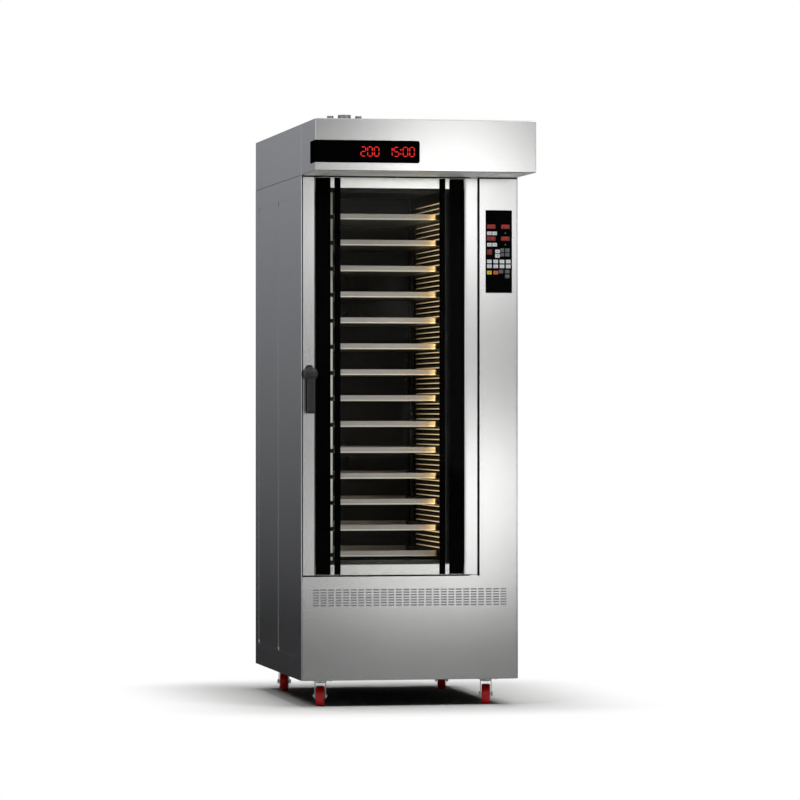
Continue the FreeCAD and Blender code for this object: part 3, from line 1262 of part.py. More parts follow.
def caster_fork(name, across, along_at):
    """Folded fork that swivels on the kingpin and carries the wheel's axle ahead of it."""
    half = "wheel_width / 2 + wheel_side_gap + fork_sheet"
    body = new_body(f"fork_sheet_{name}", x=f"{across} - ({half})", y=along_at)
    side = sketch_on(body, "YZ_Plane", f"fork_side_{name}")
    outline(side, [("-caster_trail - fork_nose", "fork_top"), ("fork_tail", "fork_top"),
                   ("fork_tail", "fork_top - 2 * fork_crown"),
                   ("-caster_trail + fork_foot", "wheel_radius - fork_foot"),
                   ("-caster_trail - fork_foot", "wheel_radius - fork_foot")])
    pad(body, side, f"fork_side_pad_{name}", f"2 * ({half})")
    room = box(f"fork_room_{name}", (f"{across} - wheel_width / 2 - wheel_side_gap",
                                     f"{across} + wheel_width / 2 + wheel_side_gap"),
               (f"{along_at} - caster_trail - fork_nose - overcut", f"{along_at} + fork_tail + overcut"),
               ("0 * skin", "fork_top - fork_crown"))
    bore = cylinder(f"fork_bore_{name}", "kingpin_radius + run_fit", "z", (across, along_at),
                    "fork_top - fork_crown - overcut", "fork_top + overcut")
    place = (f"{along_at} - caster_trail", "wheel_radius")
    axle = cylinder(f"axle_{name}", "axle_radius", "x", place, f"{across} - ({half})", f"{across} + {half}")
    heads = [cylinder(f"axle_head_{side_name}_{name}", "axle_head", "x", place, low, high)
             for side_name, low, high in (
                 ("left", f"{across} - ({half}) - axle_head_thick", f"{across} - ({half})"),
                 ("right", f"{across} + {half}", f"{across} + {half} + axle_head_thick"))]
    folded = cut(f"fork_folded_{name}", body, room, bore)
    fork = fuse(f"fork_{name}", folded, axle, *heads)
    swing(fork)
    lag = "(1 - cos(caster_swing))"
    fork.setExpression("Placement.Base.x", bound(f"({across}) * {lag} - ({along_at}) * sin(caster_swing)"))
    fork.setExpression("Placement.Base.y", bound(f"({along_at}) * {lag} + ({across}) * sin(caster_swing)"))
    keep(fork, f"caster_fork_{name}")


def caster_wheel(name, across, along_at):
    """Wheel with a crowned tread and dished sides, turned about its axle."""
    body = new_body(f"wheel_{name}", x=f"{across} - caster_trail * sin(caster_swing)",
                    y=f"{along_at} - caster_trail * cos(caster_swing)", z="wheel_radius")
    swing(body)
    half = "wheel_width / 2"
    bore = "axle_radius + run_fit"
    tread = "wheel_radius - wheel_rim"
    side = sketch_on(body, "XZ_Plane", f"wheel_section_{name}")
    outline(side, [(f"-{half}", bore), (half, bore), (half, "wheel_hub"),
                   (f"{half} - wheel_dish", "wheel_hub"), (f"{half} - wheel_dish", tread), (half, tread),
                   (half, "wheel_radius - wheel_crown / 2"), (f"{half} - wheel_crown", "wheel_radius"),
                   (f"-{half} + wheel_crown", "wheel_radius"), (f"-{half}", "wheel_radius - wheel_crown / 2"),
                   (f"-{half}", tread), (f"-{half} + wheel_dish", tread),
                   (f"-{half} + wheel_dish", "wheel_hub"), (f"-{half}", "wheel_hub")])
    revolve(body, side, f"wheel_turned_{name}", "H_Axis")
    keep(body, f"caster_wheel_{name}")


base_pan()
side_panel("left_side_panel", -1)
side_panel("right_side_panel", 1)
front_panel()
intake_filter()
rear_panel()
cable_gland()
facade_frame()
cavity_liner()
insulation_slabs()
roof_box()
canopy()
display_strip()
air_duct_panel()
fan_baffle()
for fan_level, fan_up in fan_heights():
    fan_wheel(fan_level, fan_up)
fan_motors()
heater_rings()
rack_posts()
tray_runners()
baking_trays()
lamp_bar()
roof_pipes()
control_bezel()
control_keys()
electrics_boxes()
hinge_plates()
door_frame()
door_panes()
inner_skin()
door_gasket()
handle()
caster_plates()
for caster_name, caster_across, caster_along in caster_places():
    caster_fork(caster_name, caster_across, caster_along)
    caster_wheel(caster_name, caster_across, caster_along)
doc.recompute()

failed = [thing.Name for thing in doc.Objects if "Invalid" in thing.State or "Error" in thing.State]
failed += [piece.Label for piece in PIECES if piece.Shape.isNull() or not piece.Shape.isValid()]
if failed:
    raise RuntimeError(f"not built: {failed}")
os.makedirs("parts", exist_ok=True)
for piece in PIECES:
    piece.Shape.exportStep(f"parts/{piece.Label}.step")
print(len(PIECES), "sub-parts,", sum(len(piece.Shape.Solids) for piece in PIECES), "solids")
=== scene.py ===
"""Tall tray convection oven on casters: finishes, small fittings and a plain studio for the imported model."""

import json
import math

import bmesh
import bpy
from bpy.props import FloatProperty, FloatVectorProperty, PointerProperty, StringProperty
from mathutils import Matrix, Vector


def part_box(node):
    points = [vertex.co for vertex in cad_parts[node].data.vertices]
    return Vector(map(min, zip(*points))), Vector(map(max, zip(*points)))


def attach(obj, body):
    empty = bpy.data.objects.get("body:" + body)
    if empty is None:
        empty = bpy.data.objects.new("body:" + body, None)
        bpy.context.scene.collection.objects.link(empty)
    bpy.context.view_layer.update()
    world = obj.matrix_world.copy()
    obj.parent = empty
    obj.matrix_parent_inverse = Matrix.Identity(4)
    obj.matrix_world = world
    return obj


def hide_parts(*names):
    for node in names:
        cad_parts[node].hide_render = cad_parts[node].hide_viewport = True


bl_info = {
    "name": "Tray convection oven",
    "version": (1, 0, 0),
    "blender": (4, 5, 0),
    "location": "View3D > Sidebar > Oven",
    "description": "Finishes a floor-standing tray oven and sets it in a plain studio",
    "category": "Object",
}

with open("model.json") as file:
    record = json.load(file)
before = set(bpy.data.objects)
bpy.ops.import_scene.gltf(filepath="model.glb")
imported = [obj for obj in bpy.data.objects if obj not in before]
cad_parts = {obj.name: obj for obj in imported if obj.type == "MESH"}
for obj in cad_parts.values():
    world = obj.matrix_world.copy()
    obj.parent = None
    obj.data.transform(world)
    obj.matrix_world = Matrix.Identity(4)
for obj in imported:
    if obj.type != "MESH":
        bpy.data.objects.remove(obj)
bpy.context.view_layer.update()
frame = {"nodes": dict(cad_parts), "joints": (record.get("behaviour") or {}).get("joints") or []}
NODES = frame["nodes"]

MM = 0.001
ACROSS, ALONG, UP = 0, 1, 2
TO_FRONT, TO_REAR = (0, -1, 0), (0, 1, 0)
TO_FLOOR, TO_ROOF = (0, 0, -1), (0, 0, 1)
CORNERS = ("front_left", "front_right", "rear_left", "rear_right")
JOINTS = {row["name"]: row for row in frame["joints"]}
MERGE = 1e-6
SHARP = math.radians(32)


def srgb(code):
    """Linear colour of an sRGB hex value."""
    shares = [int(code[place:place + 2], 16) / 255 for place in (1, 3, 5)]
    return tuple(s / 12.92 if s <= 0.04045 else ((s + 0.055) / 1.055) ** 2.4 for s in shares)


def length(label, text, size):
    """A length in millimetres that a user may change."""
    return FloatProperty(name=label, description=text, default=size * MM, min=0, unit="LENGTH",
                         subtype="DISTANCE")


def tint(label, text, code):
    """A colour that a user may change."""
    return FloatVectorProperty(name=label, description=text, default=srgb(code), min=0, max=1,
                               subtype="COLOR", size=3)


class OvenSizes(bpy.types.PropertyGroup):
    """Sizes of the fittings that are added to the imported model."""
    edge_band: length("Edge band", "Black print along each side of the door glass", 57)
    clear_line: length("Clear line", "Clear line between the two black prints", 15)
    inner_band: length("Inner band", "Black print next to the window", 23)
    strip_digit: length("Strip digit", "Height of the digits on the hood strip", 33)
    screen_digit: length("Screen digit", "Height of the digits in the control screens", 12)
    screw_head: length("Screw head", "Radius of the panel screws", 4)
    seam: length("Seam", "Seal between the plates under the hood", 3.5)


class OvenColours(bpy.types.PropertyGroup):
    """Colours of the finishes."""
    steel: tint("Stainless sheet", "Satin sheet of cabinet, door and hood", "#CBCBCA")
    cavity: tint("Cavity sheet", "Heat-toned sheet inside", "#404144")
    duct: tint("Duct sheet", "Louvred sheet of the air duct", "#7C766B")
    runner: tint("Runner", "Dark runners that carry the trays", "#4A4744")
    post: tint("Rack post", "Pale faces of the rack posts", "#FCFCFA")
    tray: tint("Tray", "Rolled tray sheet", "#B0ADAE")
    enamel: tint("Enamel", "Black fired enamel", "#0C0C0D")
    moulding: tint("Moulding", "Black moulded handle", "#17181A")
    panel: tint("Display panel", "Gloss black display sheets", "#030304")
    key_plain: tint("Plain key", "Key caps", "#DFE1E4")
    key_step: tint("Start key", "Yellow key cap", "#DCCB1E")
    key_stop: tint("Stop key", "Orange key cap", "#E2661B")
    tread: tint("Tread", "Wheel tread", "#DC0A0E")
    glow: tint("Digit glow", "Lit display segments", "#FF1A12")
    lamp: tint("Lamp", "Cavity lamp", "#FFD58A")
    floor: tint("Floor", "Studio floor", "#ECECEB")


def add(tree, kind, inputs=None, **settings):
    """Add a shader node, give it its settings, and set or link its inputs."""
    made = tree.nodes.new(kind)
    for setting, given in settings.items():
        setattr(made, setting, given)
    for socket, given in (inputs or {}).items():
        if isinstance(given, bpy.types.NodeSocket):
            tree.links.new(given, made.inputs[socket])
        else:
            made.inputs[socket].default_value = given
    return made


def bare_tree(name):
    """A new material with an empty node tree, and the object coordinates that its patterns read."""
    material = bpy.data.materials.new(name)
    material.use_nodes = True
    tree = material.node_tree
    tree.nodes.clear()
    return material, tree, add(tree, "ShaderNodeTexCoord").outputs["Object"]


def opaque(colour):
    """A colour with full alpha for a colour socket."""
    return (*colour, 1.0)


def scaled(colour, share):
    """A colour made darker or lighter by a share."""
    return tuple(min(1.0, channel * share) for channel in colour)


# Belt strokes on sheet are about 0.1 mm wide. They are drawn wider here, or the render would lose them.
STROKE = 0.9 * MM
STROKE_RUN = 240 * MM
CLOUD = 260 * MM

# Patches of baked-on film, heat marks, and the ripple from crest to crest and the wear of a fired coat.
FILM_PATCH = 70 * MM
HEAT_MARK = 40 * MM
COAT_RIPPLE = 2 * MM
COAT_WEAR = 60 * MM

# Marks of handling on mouldings, zinc crystals, and the hazy arcs that wiping leaves on glass.
HANDLED_PATCH = 25 * MM
ZINC_CRYSTAL = 5 * MM
WIPED_ARC = 90 * MM

# Height of strokes, ripple and grain, and how far gloss and glow stray from their mean.
RELIEF = 0.1 * MM
SWING = (0.85, 1.15)
COAT_SWING = (0.8, 1.2)

# A painted highlight runs along the foot of each tray's front; this is its width.
TRAY_SPACING = 97 * MM
FOOT_HIGHLIGHT_WIDTH = 4.5 * MM

# A rack post is a square tube with this wall, and this much of its face stays pale; the rest of the post is
# painted shade.
POST_WALL = 1.6 * MM
POST_FACE = 11 * MM

# Duct slots: count, spacing, the lowest slot's top edge above the duct's foot, and their run to the rear.
LOUVRES = 68
LOUVRE_SPACING = 19.4 * MM
LOUVRE_BASE = 56 * MM
LOUVRE_RUN = (-223.5 * MM, 280.5 * MM)


def painted_foot_highlight(tree, place, shade):
    """The trays' colour, with a painted highlight along the foot of each front."""
    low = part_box("baking_trays")[0]
    axes = add(tree, "ShaderNodeSeparateXYZ", {0: place})
    above = add(tree, "ShaderNodeMath", {0: axes.outputs["Z"], 1: low.z}, operation="SUBTRACT")
    nearest = add(tree, "ShaderNodeMath", {0: above.outputs[0], 1: TRAY_SPACING / 2}, operation="PINGPONG")
    foot = add(tree, "ShaderNodeMath", {0: nearest.outputs[0], 1: FOOT_HIGHLIGHT_WIDTH}, operation="LESS_THAN")
    front = add(tree, "ShaderNodeMath", {0: axes.outputs["Y"], 1: low.y + FOOT_HIGHLIGHT_WIDTH}, operation="LESS_THAN")
    foot_highlight = add(tree, "ShaderNodeMath", {0: foot.outputs[0], 1: front.outputs[0]}, operation="MULTIPLY")
    # The pale colour is the painted highlight, laid along the foot of each tray's front.
    return add(tree, "ShaderNodeMix", {0: foot_highlight.outputs[0], 6: shade.outputs[2], 7: opaque(srgb("#E6E4DA"))},
               data_type="RGBA")


def brushed_metal(name, colour, grain, gloss, stain=None, foot_highlight=False):
    """Ground sheet: long strokes along the grain, a faint cloud in the colour, satin gloss."""
    material, tree, place = bare_tree(name)
    scale = [1 / STROKE] * 3
    scale[grain] = 1 / STROKE_RUN
    drawn = add(tree, "ShaderNodeMapping", {"Vector": place, "Scale": scale})
    strokes = add(tree, "ShaderNodeTexNoise", {
        "Vector": drawn.outputs["Vector"], "Scale": 1.0, "Detail": 2.0})
    clouds = add(tree, "ShaderNodeTexNoise", {"Vector": place, "Scale": 1 / CLOUD, "Detail": 3.0})
    satin = add(tree, "ShaderNodeMapRange", {
        "Value": strokes.outputs["Fac"], "From Min": 0.3, "From Max": 0.7, "To Min": gloss[0],
        "To Max": gloss[1]})
    spread = add(tree, "ShaderNodeMapRange", {
        "Value": clouds.outputs["Fac"], "From Min": 0.35, "From Max": 0.7})
    clouded = stain or scaled(colour, 0.97)
    shade = add(tree, "ShaderNodeMix", {0: spread.outputs["Result"], 6: opaque(colour), 7: opaque(clouded)},
                data_type="RGBA")
    # Trays get a painted highlight along the foot of each front.
    if foot_highlight:
        shade = painted_foot_highlight(tree, place, shade)
    relief = add(tree, "ShaderNodeBump", {
        "Height": strokes.outputs["Fac"], "Strength": 0.002, "Distance": RELIEF})
    sheet = add(tree, "ShaderNodeBsdfPrincipled", {
        "Base Color": shade.outputs[2], "Metallic": 1.0, "Roughness": satin.outputs["Result"],
        "Normal": relief.outputs["Normal"]})
    add(tree, "ShaderNodeOutputMaterial", {"Surface": sheet.outputs[0]})
    return material


def scaled_sheet(name, colour, metal, roughness, painted_glow=0.0):
    """Sheet under a dull, even film; the last setting is a painted glow of the lamp's light on it, which fades
    to the rear.
    """
    material, tree, place = bare_tree(name)
    patches = add(tree, "ShaderNodeTexNoise", {"Vector": place, "Scale": 1 / FILM_PATCH, "Detail": 5.0})
    filmed = scaled(colour, 0.8)
    shade = add(tree, "ShaderNodeMix", {0: patches.outputs["Fac"], 6: opaque(colour), 7: opaque(filmed)},
                data_type="RGBA")
    satin = add(tree, "ShaderNodeMapRange", {
        "Value": patches.outputs["Fac"], "To Min": SWING[0] * roughness, "To Max": SWING[1] * roughness})
    sheet = add(tree, "ShaderNodeBsdfPrincipled", {
        "Base Color": shade.outputs[2], "Metallic": metal, "Roughness": satin.outputs["Result"]})
    if painted_glow:
        depth = add(tree, "ShaderNodeSeparateXYZ", {0: place})
        front, back = LOUVRE_RUN
        glow = add(tree, "ShaderNodeMapRange", {
            "Value": depth.outputs["Y"], "From Min": front, "From Max": back, "To Min": painted_glow,
            "To Max": 0.1 * painted_glow})
        # The warm emission is painted light: the lamp's glow laid on the sheet, strongest at the front.
        sheet.inputs["Emission Color"].default_value = opaque(srgb("#FFE2AE"))
        tree.links.new(glow.outputs["Result"], sheet.inputs["Emission Strength"])
    add(tree, "ShaderNodeOutputMaterial", {"Surface": sheet.outputs[0]})
    return material


def pale_post_with_painted_shade(name, colour):
    """Blasted post: a pale face to the door, and painted shade in its bore, on its flank towards the trays and
    on every face behind its front wall.
    """
    material, tree, place = bare_tree(name)
    low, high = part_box("rack_posts")
    middle = (low.x + high.x) / 2
    axes = add(tree, "ShaderNodeSeparateXYZ", {0: place})
    marks = add(tree, "ShaderNodeTexNoise", {"Vector": place, "Scale": 1 / HEAT_MARK, "Detail": 3.0})
    behind = add(tree, "ShaderNodeMath", {0: axes.outputs["Y"], 1: low.y + POST_WALL},
                 operation="GREATER_THAN")
    across = add(tree, "ShaderNodeMath", {0: axes.outputs["X"], 1: middle}, operation="SUBTRACT")
    apart = add(tree, "ShaderNodeMath", {0: across.outputs[0]}, operation="ABSOLUTE")
    inner = add(tree, "ShaderNodeMath", {0: apart.outputs[0], 1: high.x - middle - POST_FACE},
                operation="LESS_THAN")
    painted_shade = add(tree, "ShaderNodeMath", {0: behind.outputs[0], 1: inner.outputs[0]}, operation="MAXIMUM")
    # The near-black brown is painted shade: in the bore, on the flank towards the trays and behind the front
    # wall.
    shade = add(tree, "ShaderNodeMix", {0: painted_shade.outputs[0], 6: opaque(colour), 7: opaque(srgb("#1C1A18"))},
                data_type="RGBA")
    satin = add(tree, "ShaderNodeMapRange", {"Value": marks.outputs["Fac"], "To Min": 0.4, "To Max": 0.55})
    tube = add(tree, "ShaderNodeBsdfPrincipled", {
        "Base Color": shade.outputs[2], "Metallic": 0.0, "Roughness": satin.outputs["Result"]})
    add(tree, "ShaderNodeOutputMaterial", {"Surface": tube.outputs[0]})
    return material


def fired_enamel(name, colour, roughness, shine=0.5):
    """Fired or poured coat: a soft gloss over a faint orange-peel ripple."""
    material, tree, place = bare_tree(name)
    peel = add(tree, "ShaderNodeTexNoise", {"Vector": place, "Scale": 1 / COAT_RIPPLE, "Detail": 1.0})
    wear = add(tree, "ShaderNodeTexNoise", {"Vector": place, "Scale": 1 / COAT_WEAR, "Detail": 4.0})
    satin = add(tree, "ShaderNodeMapRange", {
        "Value": wear.outputs["Fac"], "To Min": COAT_SWING[0] * roughness,
        "To Max": COAT_SWING[1] * roughness})
    rubbed = scaled(colour, 1.4)
    shade = add(tree, "ShaderNodeMix", {0: wear.outputs["Fac"], 6: opaque(colour), 7: opaque(rubbed)},
                data_type="RGBA")
    relief = add(tree, "ShaderNodeBump", {
        "Height": peel.outputs["Fac"], "Strength": 0.06, "Distance": RELIEF})
    coat = add(tree, "ShaderNodeBsdfPrincipled", {
        "Base Color": shade.outputs[2], "Roughness": satin.outputs["Result"], "IOR": 1.5,
        "Specular IOR Level": shine, "Normal": relief.outputs["Normal"]})
    add(tree, "ShaderNodeOutputMaterial", {"Surface": coat.outputs[0]})
    return material


def moulded(name, colour, roughness, grit):
    """Moulded plastic or rubber: even colour with a fine spark-eroded grain."""
    material, tree, place = bare_tree(name)
    grain = add(tree, "ShaderNodeTexVoronoi", {"Vector": place, "Scale": 1 / grit})
    handling = add(tree, "ShaderNodeTexNoise", {"Vector": place, "Scale": 1 / HANDLED_PATCH, "Detail": 3.0})
    satin = add(tree, "ShaderNodeMapRange", {
        "Value": handling.outputs["Fac"], "To Min": SWING[0] * roughness, "To Max": SWING[1] * roughness})
    handled = scaled(colour, 0.86)
    shade = add(tree, "ShaderNodeMix", {0: handling.outputs["Fac"], 6: opaque(colour), 7: opaque(handled)},
                data_type="RGBA")
    relief = add(tree, "ShaderNodeBump", {
        "Height": grain.outputs["Distance"], "Strength": 0.12, "Distance": RELIEF})
    skin = add(tree, "ShaderNodeBsdfPrincipled", {
        "Base Color": shade.outputs[2], "Roughness": satin.outputs["Result"], "IOR": 1.46,
        "Normal": relief.outputs["Normal"]})
    add(tree, "ShaderNodeOutputMaterial", {"Surface": skin.outputs[0]})
    return material


def zinc_plating(name):
    """Bright zinc plate: small crystal patches that shift between grey and a faint blue."""
    material, tree, place = bare_tree(name)
    patches = add(tree, "ShaderNodeTexVoronoi", {"Vector": place, "Scale": 1 / ZINC_CRYSTAL})
    shade = add(tree, "ShaderNodeMix", {
        0: patches.outputs["Distance"], 6: opaque(srgb("#CDD0D2")), 7: opaque(srgb("#B9B7AE"))},
        data_type="RGBA")
    satin = add(tree, "ShaderNodeMapRange", {
        "Value": patches.outputs["Distance"], "To Min": 0.24, "To Max": 0.4})
    plate = add(tree, "ShaderNodeBsdfPrincipled", {
        "Base Color": shade.outputs[2], "Metallic": 1.0, "Roughness": satin.outputs["Result"]})
    add(tree, "ShaderNodeOutputMaterial", {"Surface": plate.outputs[0]})
    return material


def fibre_mat(name, colour, strand, metal=0.0):
    """Pressed fibre: tangled strands with painted shade in the gaps between them, and no gloss unless the
    strands are metallised.
    """
    material, tree, place = bare_tree(name)
    tangle = add(tree, "ShaderNodeTexNoise", {
        "Vector": place, "Scale": 1 / strand, "Detail": 5.0, "Distortion": 2.0})
    # The darker colour in the gaps between strands is painted shade.
    gap_shade = scaled(colour, 0.45)
    shade = add(tree, "ShaderNodeMix", {0: tangle.outputs["Fac"], 6: opaque(gap_shade), 7: opaque(colour)},
                data_type="RGBA")
    relief = add(tree, "ShaderNodeBump", {
        "Height": tangle.outputs["Fac"], "Strength": 0.7 * (1 - metal), "Distance": 1 * MM})
    mat = add(tree, "ShaderNodeBsdfPrincipled", {
        "Base Color": shade.outputs[2], "Metallic": metal, "Roughness": 0.95 - 0.7 * metal,
        "Normal": relief.outputs["Normal"]})
    add(tree, "ShaderNodeOutputMaterial", {"Surface": mat.outputs[0]})
    return material


def toughened_glass(name):
    """Clear toughened pane: seen straight through, with a gloss that grows towards a glancing eye."""
    material, tree, place = bare_tree(name)
    wiped = add(tree, "ShaderNodeTexNoise", {"Vector": place, "Scale": 1 / WIPED_ARC, "Detail": 4.0})
    haze = add(tree, "ShaderNodeMapRange", {
        "Value": wiped.outputs["Fac"], "From Min": 0.4, "From Max": 0.8, "To Min": 0.01, "To Max": 0.05})
    gloss = add(tree, "ShaderNodeBsdfPrincipled", {
        "Base Color": opaque(srgb("#F7FAF8")), "Metallic": 1.0, "Roughness": haze.outputs["Result"]})
    through = add(tree, "ShaderNodeBsdfTransparent", {"Color": opaque(srgb("#FDFDFC"))})
    # The coat that keeps heat in takes off most of the mirror image, so the index is below bare glass.
    bend = add(tree, "ShaderNodeFresnel", {"IOR": 1.1})
    side = add(tree, "ShaderNodeNewGeometry")
    outer = add(tree, "ShaderNodeMath", {0: 1.0, 1: side.outputs["Backfacing"]}, operation="SUBTRACT")
    share = add(tree, "ShaderNodeMath", {0: bend.outputs[0], 1: outer.outputs[0]}, operation="MULTIPLY")
    pane = add(tree, "ShaderNodeMixShader", {0: share.outputs[0], 1: through.outputs[0], 2: gloss.outputs[0]})
    add(tree, "ShaderNodeOutputMaterial", {"Surface": pane.outputs[0]})
    return material


def glowing(name, colour, strength, patch):
    """Lit plastic or lamp glass: its own light, a little uneven over the lit area."""
    material, tree, place = bare_tree(name)
    uneven = add(tree, "ShaderNodeTexNoise", {"Vector": place, "Scale": 1 / patch, "Detail": 1.0})
    shine = add(tree, "ShaderNodeMapRange", {
        "Value": uneven.outputs["Fac"], "To Min": SWING[0] * strength, "To Max": SWING[1] * strength})
    lit = add(tree, "ShaderNodeBsdfPrincipled", {
        "Base Color": opaque(scaled(colour, 0.6)), "Roughness": 0.35, "Emission Color": opaque(colour),
        "Emission Strength": shine.outputs["Result"]})
    add(tree, "ShaderNodeOutputMaterial", {"Surface": lit.outputs[0]})
    return material


# Each finish as its maker and what that is given. A colour is a hex value or the name of a user's colour.
FINISHES = {
    # Belt-ground stainless sheet gives fine strokes one way and a broad, soft mirror image.
    "satin_stainless_upright": (brushed_metal, "steel", UP, (0.2, 0.22)),
    "satin_stainless_level": (brushed_metal, "steel", ACROSS, (0.2, 0.22)),
    # Stainless toned by heat is dark and dull, in clouds.
    "heat_toned_stainless": (brushed_metal, "cavity", UP, (0.42, 0.55), "#3A3A3D"),
    # Steel under baked-on scale is a warm matt grey in patches; the louvre hoods are paler, with a painted
    # glow of the lamp that fades to the rear.
    "matt_scaled_steel": (scaled_sheet, "duct", 0.15, 0.6),
    "lamp_lit_scale": (scaled_sheet, "#D6CCBA", 0.15, 0.6, 1.0),
    # Bead-blasted stainless is pale, without strokes, and blurs all that it mirrors.
    "blasted_stainless": (scaled_sheet, "#E6E6E4", 0.45, 0.4),
    # Sprayed bitumen is black and dull.
    "black_underseal": (fired_enamel, "#0B0B0B", 0.9, 0.1),
    # Square tube, blasted: a pale front, and painted shade elsewhere.
    "heat_faded_stainless": (pale_post_with_painted_shade, "post"),
    # Drawn runners in use darken, with brown streaks along their length.
    "dark_runner_steel": (brushed_metal, "runner", ALONG, (0.35, 0.5), "#3A322C"),
    # Rolled tray sheet is a soft grey, with a painted highlight along the foot of each front.
    "rolled_tray_sheet": (brushed_metal, "tray", ACROSS, (0.36, 0.5), "#B0ABA8", True),
    # Heater tube carries a black oxide with a blue cast.
    "blackened_heater_steel": (brushed_metal, "#5B544F", UP, (0.45, 0.6), "#3E4350"),
    # Flue pipe takes a grey heat tint and keeps some gloss.
    "blued_pipe_steel": (brushed_metal, "#8B8A8A", UP, (0.3, 0.42), "#6E6A6C"),
    # Fired enamel is black with a slightly rippled gloss.
    "black_fired_enamel": (fired_enamel, "enamel", 0.4),
    # Ceramic ink fired into glass is flat black, and only the pane in front of it shines.
    "black_glass_print": (fired_enamel, "#030303", 0.8, 0.0),
    # Stoved motor paint is a plain grey with a soft gloss.
    "grey_motor_paint": (fired_enamel, "#5E656B", 0.45),
    # Moulded nylon is near black with a fine grain.
    "black_moulded_nylon": (moulded, "moulding", 0.42, 0.9 * MM),
    # Cast smoked acrylic is a deep, even black.
    "smoked_acrylic": (fired_enamel, "panel", 0.14, 0.0),
    # Printed membrane is matt black and mirrors next to nothing.
    "matt_black_membrane": (fired_enamel, "panel", 0.4, 0.01),
    # Tooled sealant draws dark, rubbery lines between sheets.
    "dark_seam_seal": (fired_enamel, "#161616", 0.7, 0.2),
    "grey_joint_sealant": (fired_enamel, "#4E4E52", 0.6, 0.2),
    # A pale steel strip that is a painted highlight of a rounded sheet edge.
    "polished_edge_steel": (brushed_metal, "#F4F4F6", UP, (0.3, 0.36)),
    # Moulded silicone keys have an even colour and hardly any shine.
    "white_key_silicone": (moulded, "key_plain", 0.55, 0.8 * MM),
    "yellow_key_silicone": (moulded, "key_step", 0.55, 0.8 * MM),
    "orange_key_silicone": (moulded, "key_stop", 0.55, 0.8 * MM),
    "grey_key_silicone": (moulded, "#57585A", 0.55, 0.8 * MM),
    # Screen-printed ink is a thin flat black.
    "black_key_ink": (moulded, "#1B1B1C", 0.6, 0.8 * MM),
    # Extruded silicone is black and rubbery.
    "black_silicone_seal": (moulded, "#1A1A1B", 0.6, 1.2 * MM),
    # Cast polyurethane is a strong red with a waxy gloss.
    "red_polyurethane": (moulded, "tread", 0.38, 1.5 * MM),
    # Moulded wheel discs are black with a coarser grain than the handle.
    "black_wheel_nylon": (moulded, "#1D1D1F", 0.45, 1.1 * MM),
    # Electroplated zinc glints in small crystals.
    "zinc_plate": (zinc_plating,),
    # Pressed mineral wool is a yellow-brown tangle without gloss.
    "pressed_mineral_wool": (fibre_mat, "#B39A63", 3 * MM),
    # Metallised fleece is a silvery tangle.
    "aluminised_fleece": (fibre_mat, "#A8A9AB", 2 * MM, 0.9),
    # Toughened float glass is clear, with faint wiping marks in its gloss.
    "toughened_glass": (toughened_glass,),
    # A lit lamp tube glows warm white.
    "warm_lamp_glass": (glowing, "lamp", 9.0, 40 * MM),
    # Lit segments, their dim lens and signal lights are small coloured glows.
    "lit_red_segment": (glowing, "glow", 0.42, 6 * MM),
    "glowing_red_lens": (glowing, "#5E0B05", 0.2, 9 * MM),
    "lit_green_dot": (glowing, "#2F9A3C", 0.5, 2 * MM),
}


def ready(given):
    """What a maker is given: a hex value or a user's colour as a linear colour, anything else as it is."""
    if not isinstance(given, str):
        return given
    return srgb(given) if given.startswith("#") else getattr(bpy.context.scene.oven_colours, given)


def finish(name):
    """The named material, made the first time that it is asked for."""
    known = bpy.data.materials.get(name)
    if known:
        return known
    maker, *settings = FINISHES[name]
    return maker(name, *(ready(given) for given in settings))


def dress(name, *nodes):
    """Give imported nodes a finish."""
    for node in nodes:
        for place in NODES[node].material_slots:
            place.material = finish(name)


def slab(bm, low, high, soften, segments=2):
    """A block between two corners with rounded edges."""
    low, high = Vector(low), Vector(high)
    size = Matrix.Diagonal((*(high - low), 1.0))
    made = bmesh.ops.create_cube(bm, size=1.0, matrix=Matrix.Translation((low + high) / 2) @ size)
    edges = list({edge for vert in made["verts"] for edge in vert.link_edges})
    bmesh.ops.bevel(bm, geom=edges, offset=soften, segments=segments, profile=0.5, affect="EDGES",
                    material=-1)


def in_mm(points):
    """Pairs of millimetres as pairs of metres."""
    return [(first * MM, second * MM) for first, second in points]


def turned(bm, profile, foot, axis, steps):
    """Spin a closed run of (radius, rise) points round an axis through foot."""
    axis, foot = Vector(axis), Vector(foot)
    out = axis.orthogonal().normalized()
    verts = [bm.verts.new(foot + out * radius + axis * rise) for radius, rise in profile]
    edges = [bm.edges.new(pair) for pair in zip(verts, verts[1:])]
    bmesh.ops.spin(bm, geom=verts + edges, cent=foot, axis=axis, angle=math.tau, steps=steps, use_merge=True)
    bmesh.ops.remove_doubles(bm, verts=bm.verts, dist=MERGE)


def extruded(bm, corners, run):
    """Close a few corner points to a face, and draw it out along a run."""
    face = bm.faces.new([bm.verts.new(corner) for corner in corners])
    drawn = bmesh.ops.extrude_face_region(bm, geom=[face])
    moved = [made for made in drawn["geom"] if isinstance(made, bmesh.types.BMVert)]
    bmesh.ops.translate(bm, verts=moved, vec=run)


def prism(bm, foot, axis, radius, rise, sides, soften):
    """A prism with a bevelled rim standing on foot along an axis."""
    axis = Vector(axis)
    turn = axis.to_track_quat("Z", "Y").to_matrix().to_4x4()
    middle = Matrix.Translation(Vector(foot) + axis * rise / 2)
    made = bmesh.ops.create_cone(bm, cap_ends=True, segments=sides, radius1=radius, radius2=radius,
                                 depth=rise, matrix=middle @ turn)
    edges = list({edge for vert in made["verts"] for edge in vert.link_edges})
    bmesh.ops.bevel(bm, geom=edges, offset=soften, segments=1, profile=0.5, affect="EDGES", material=-1)


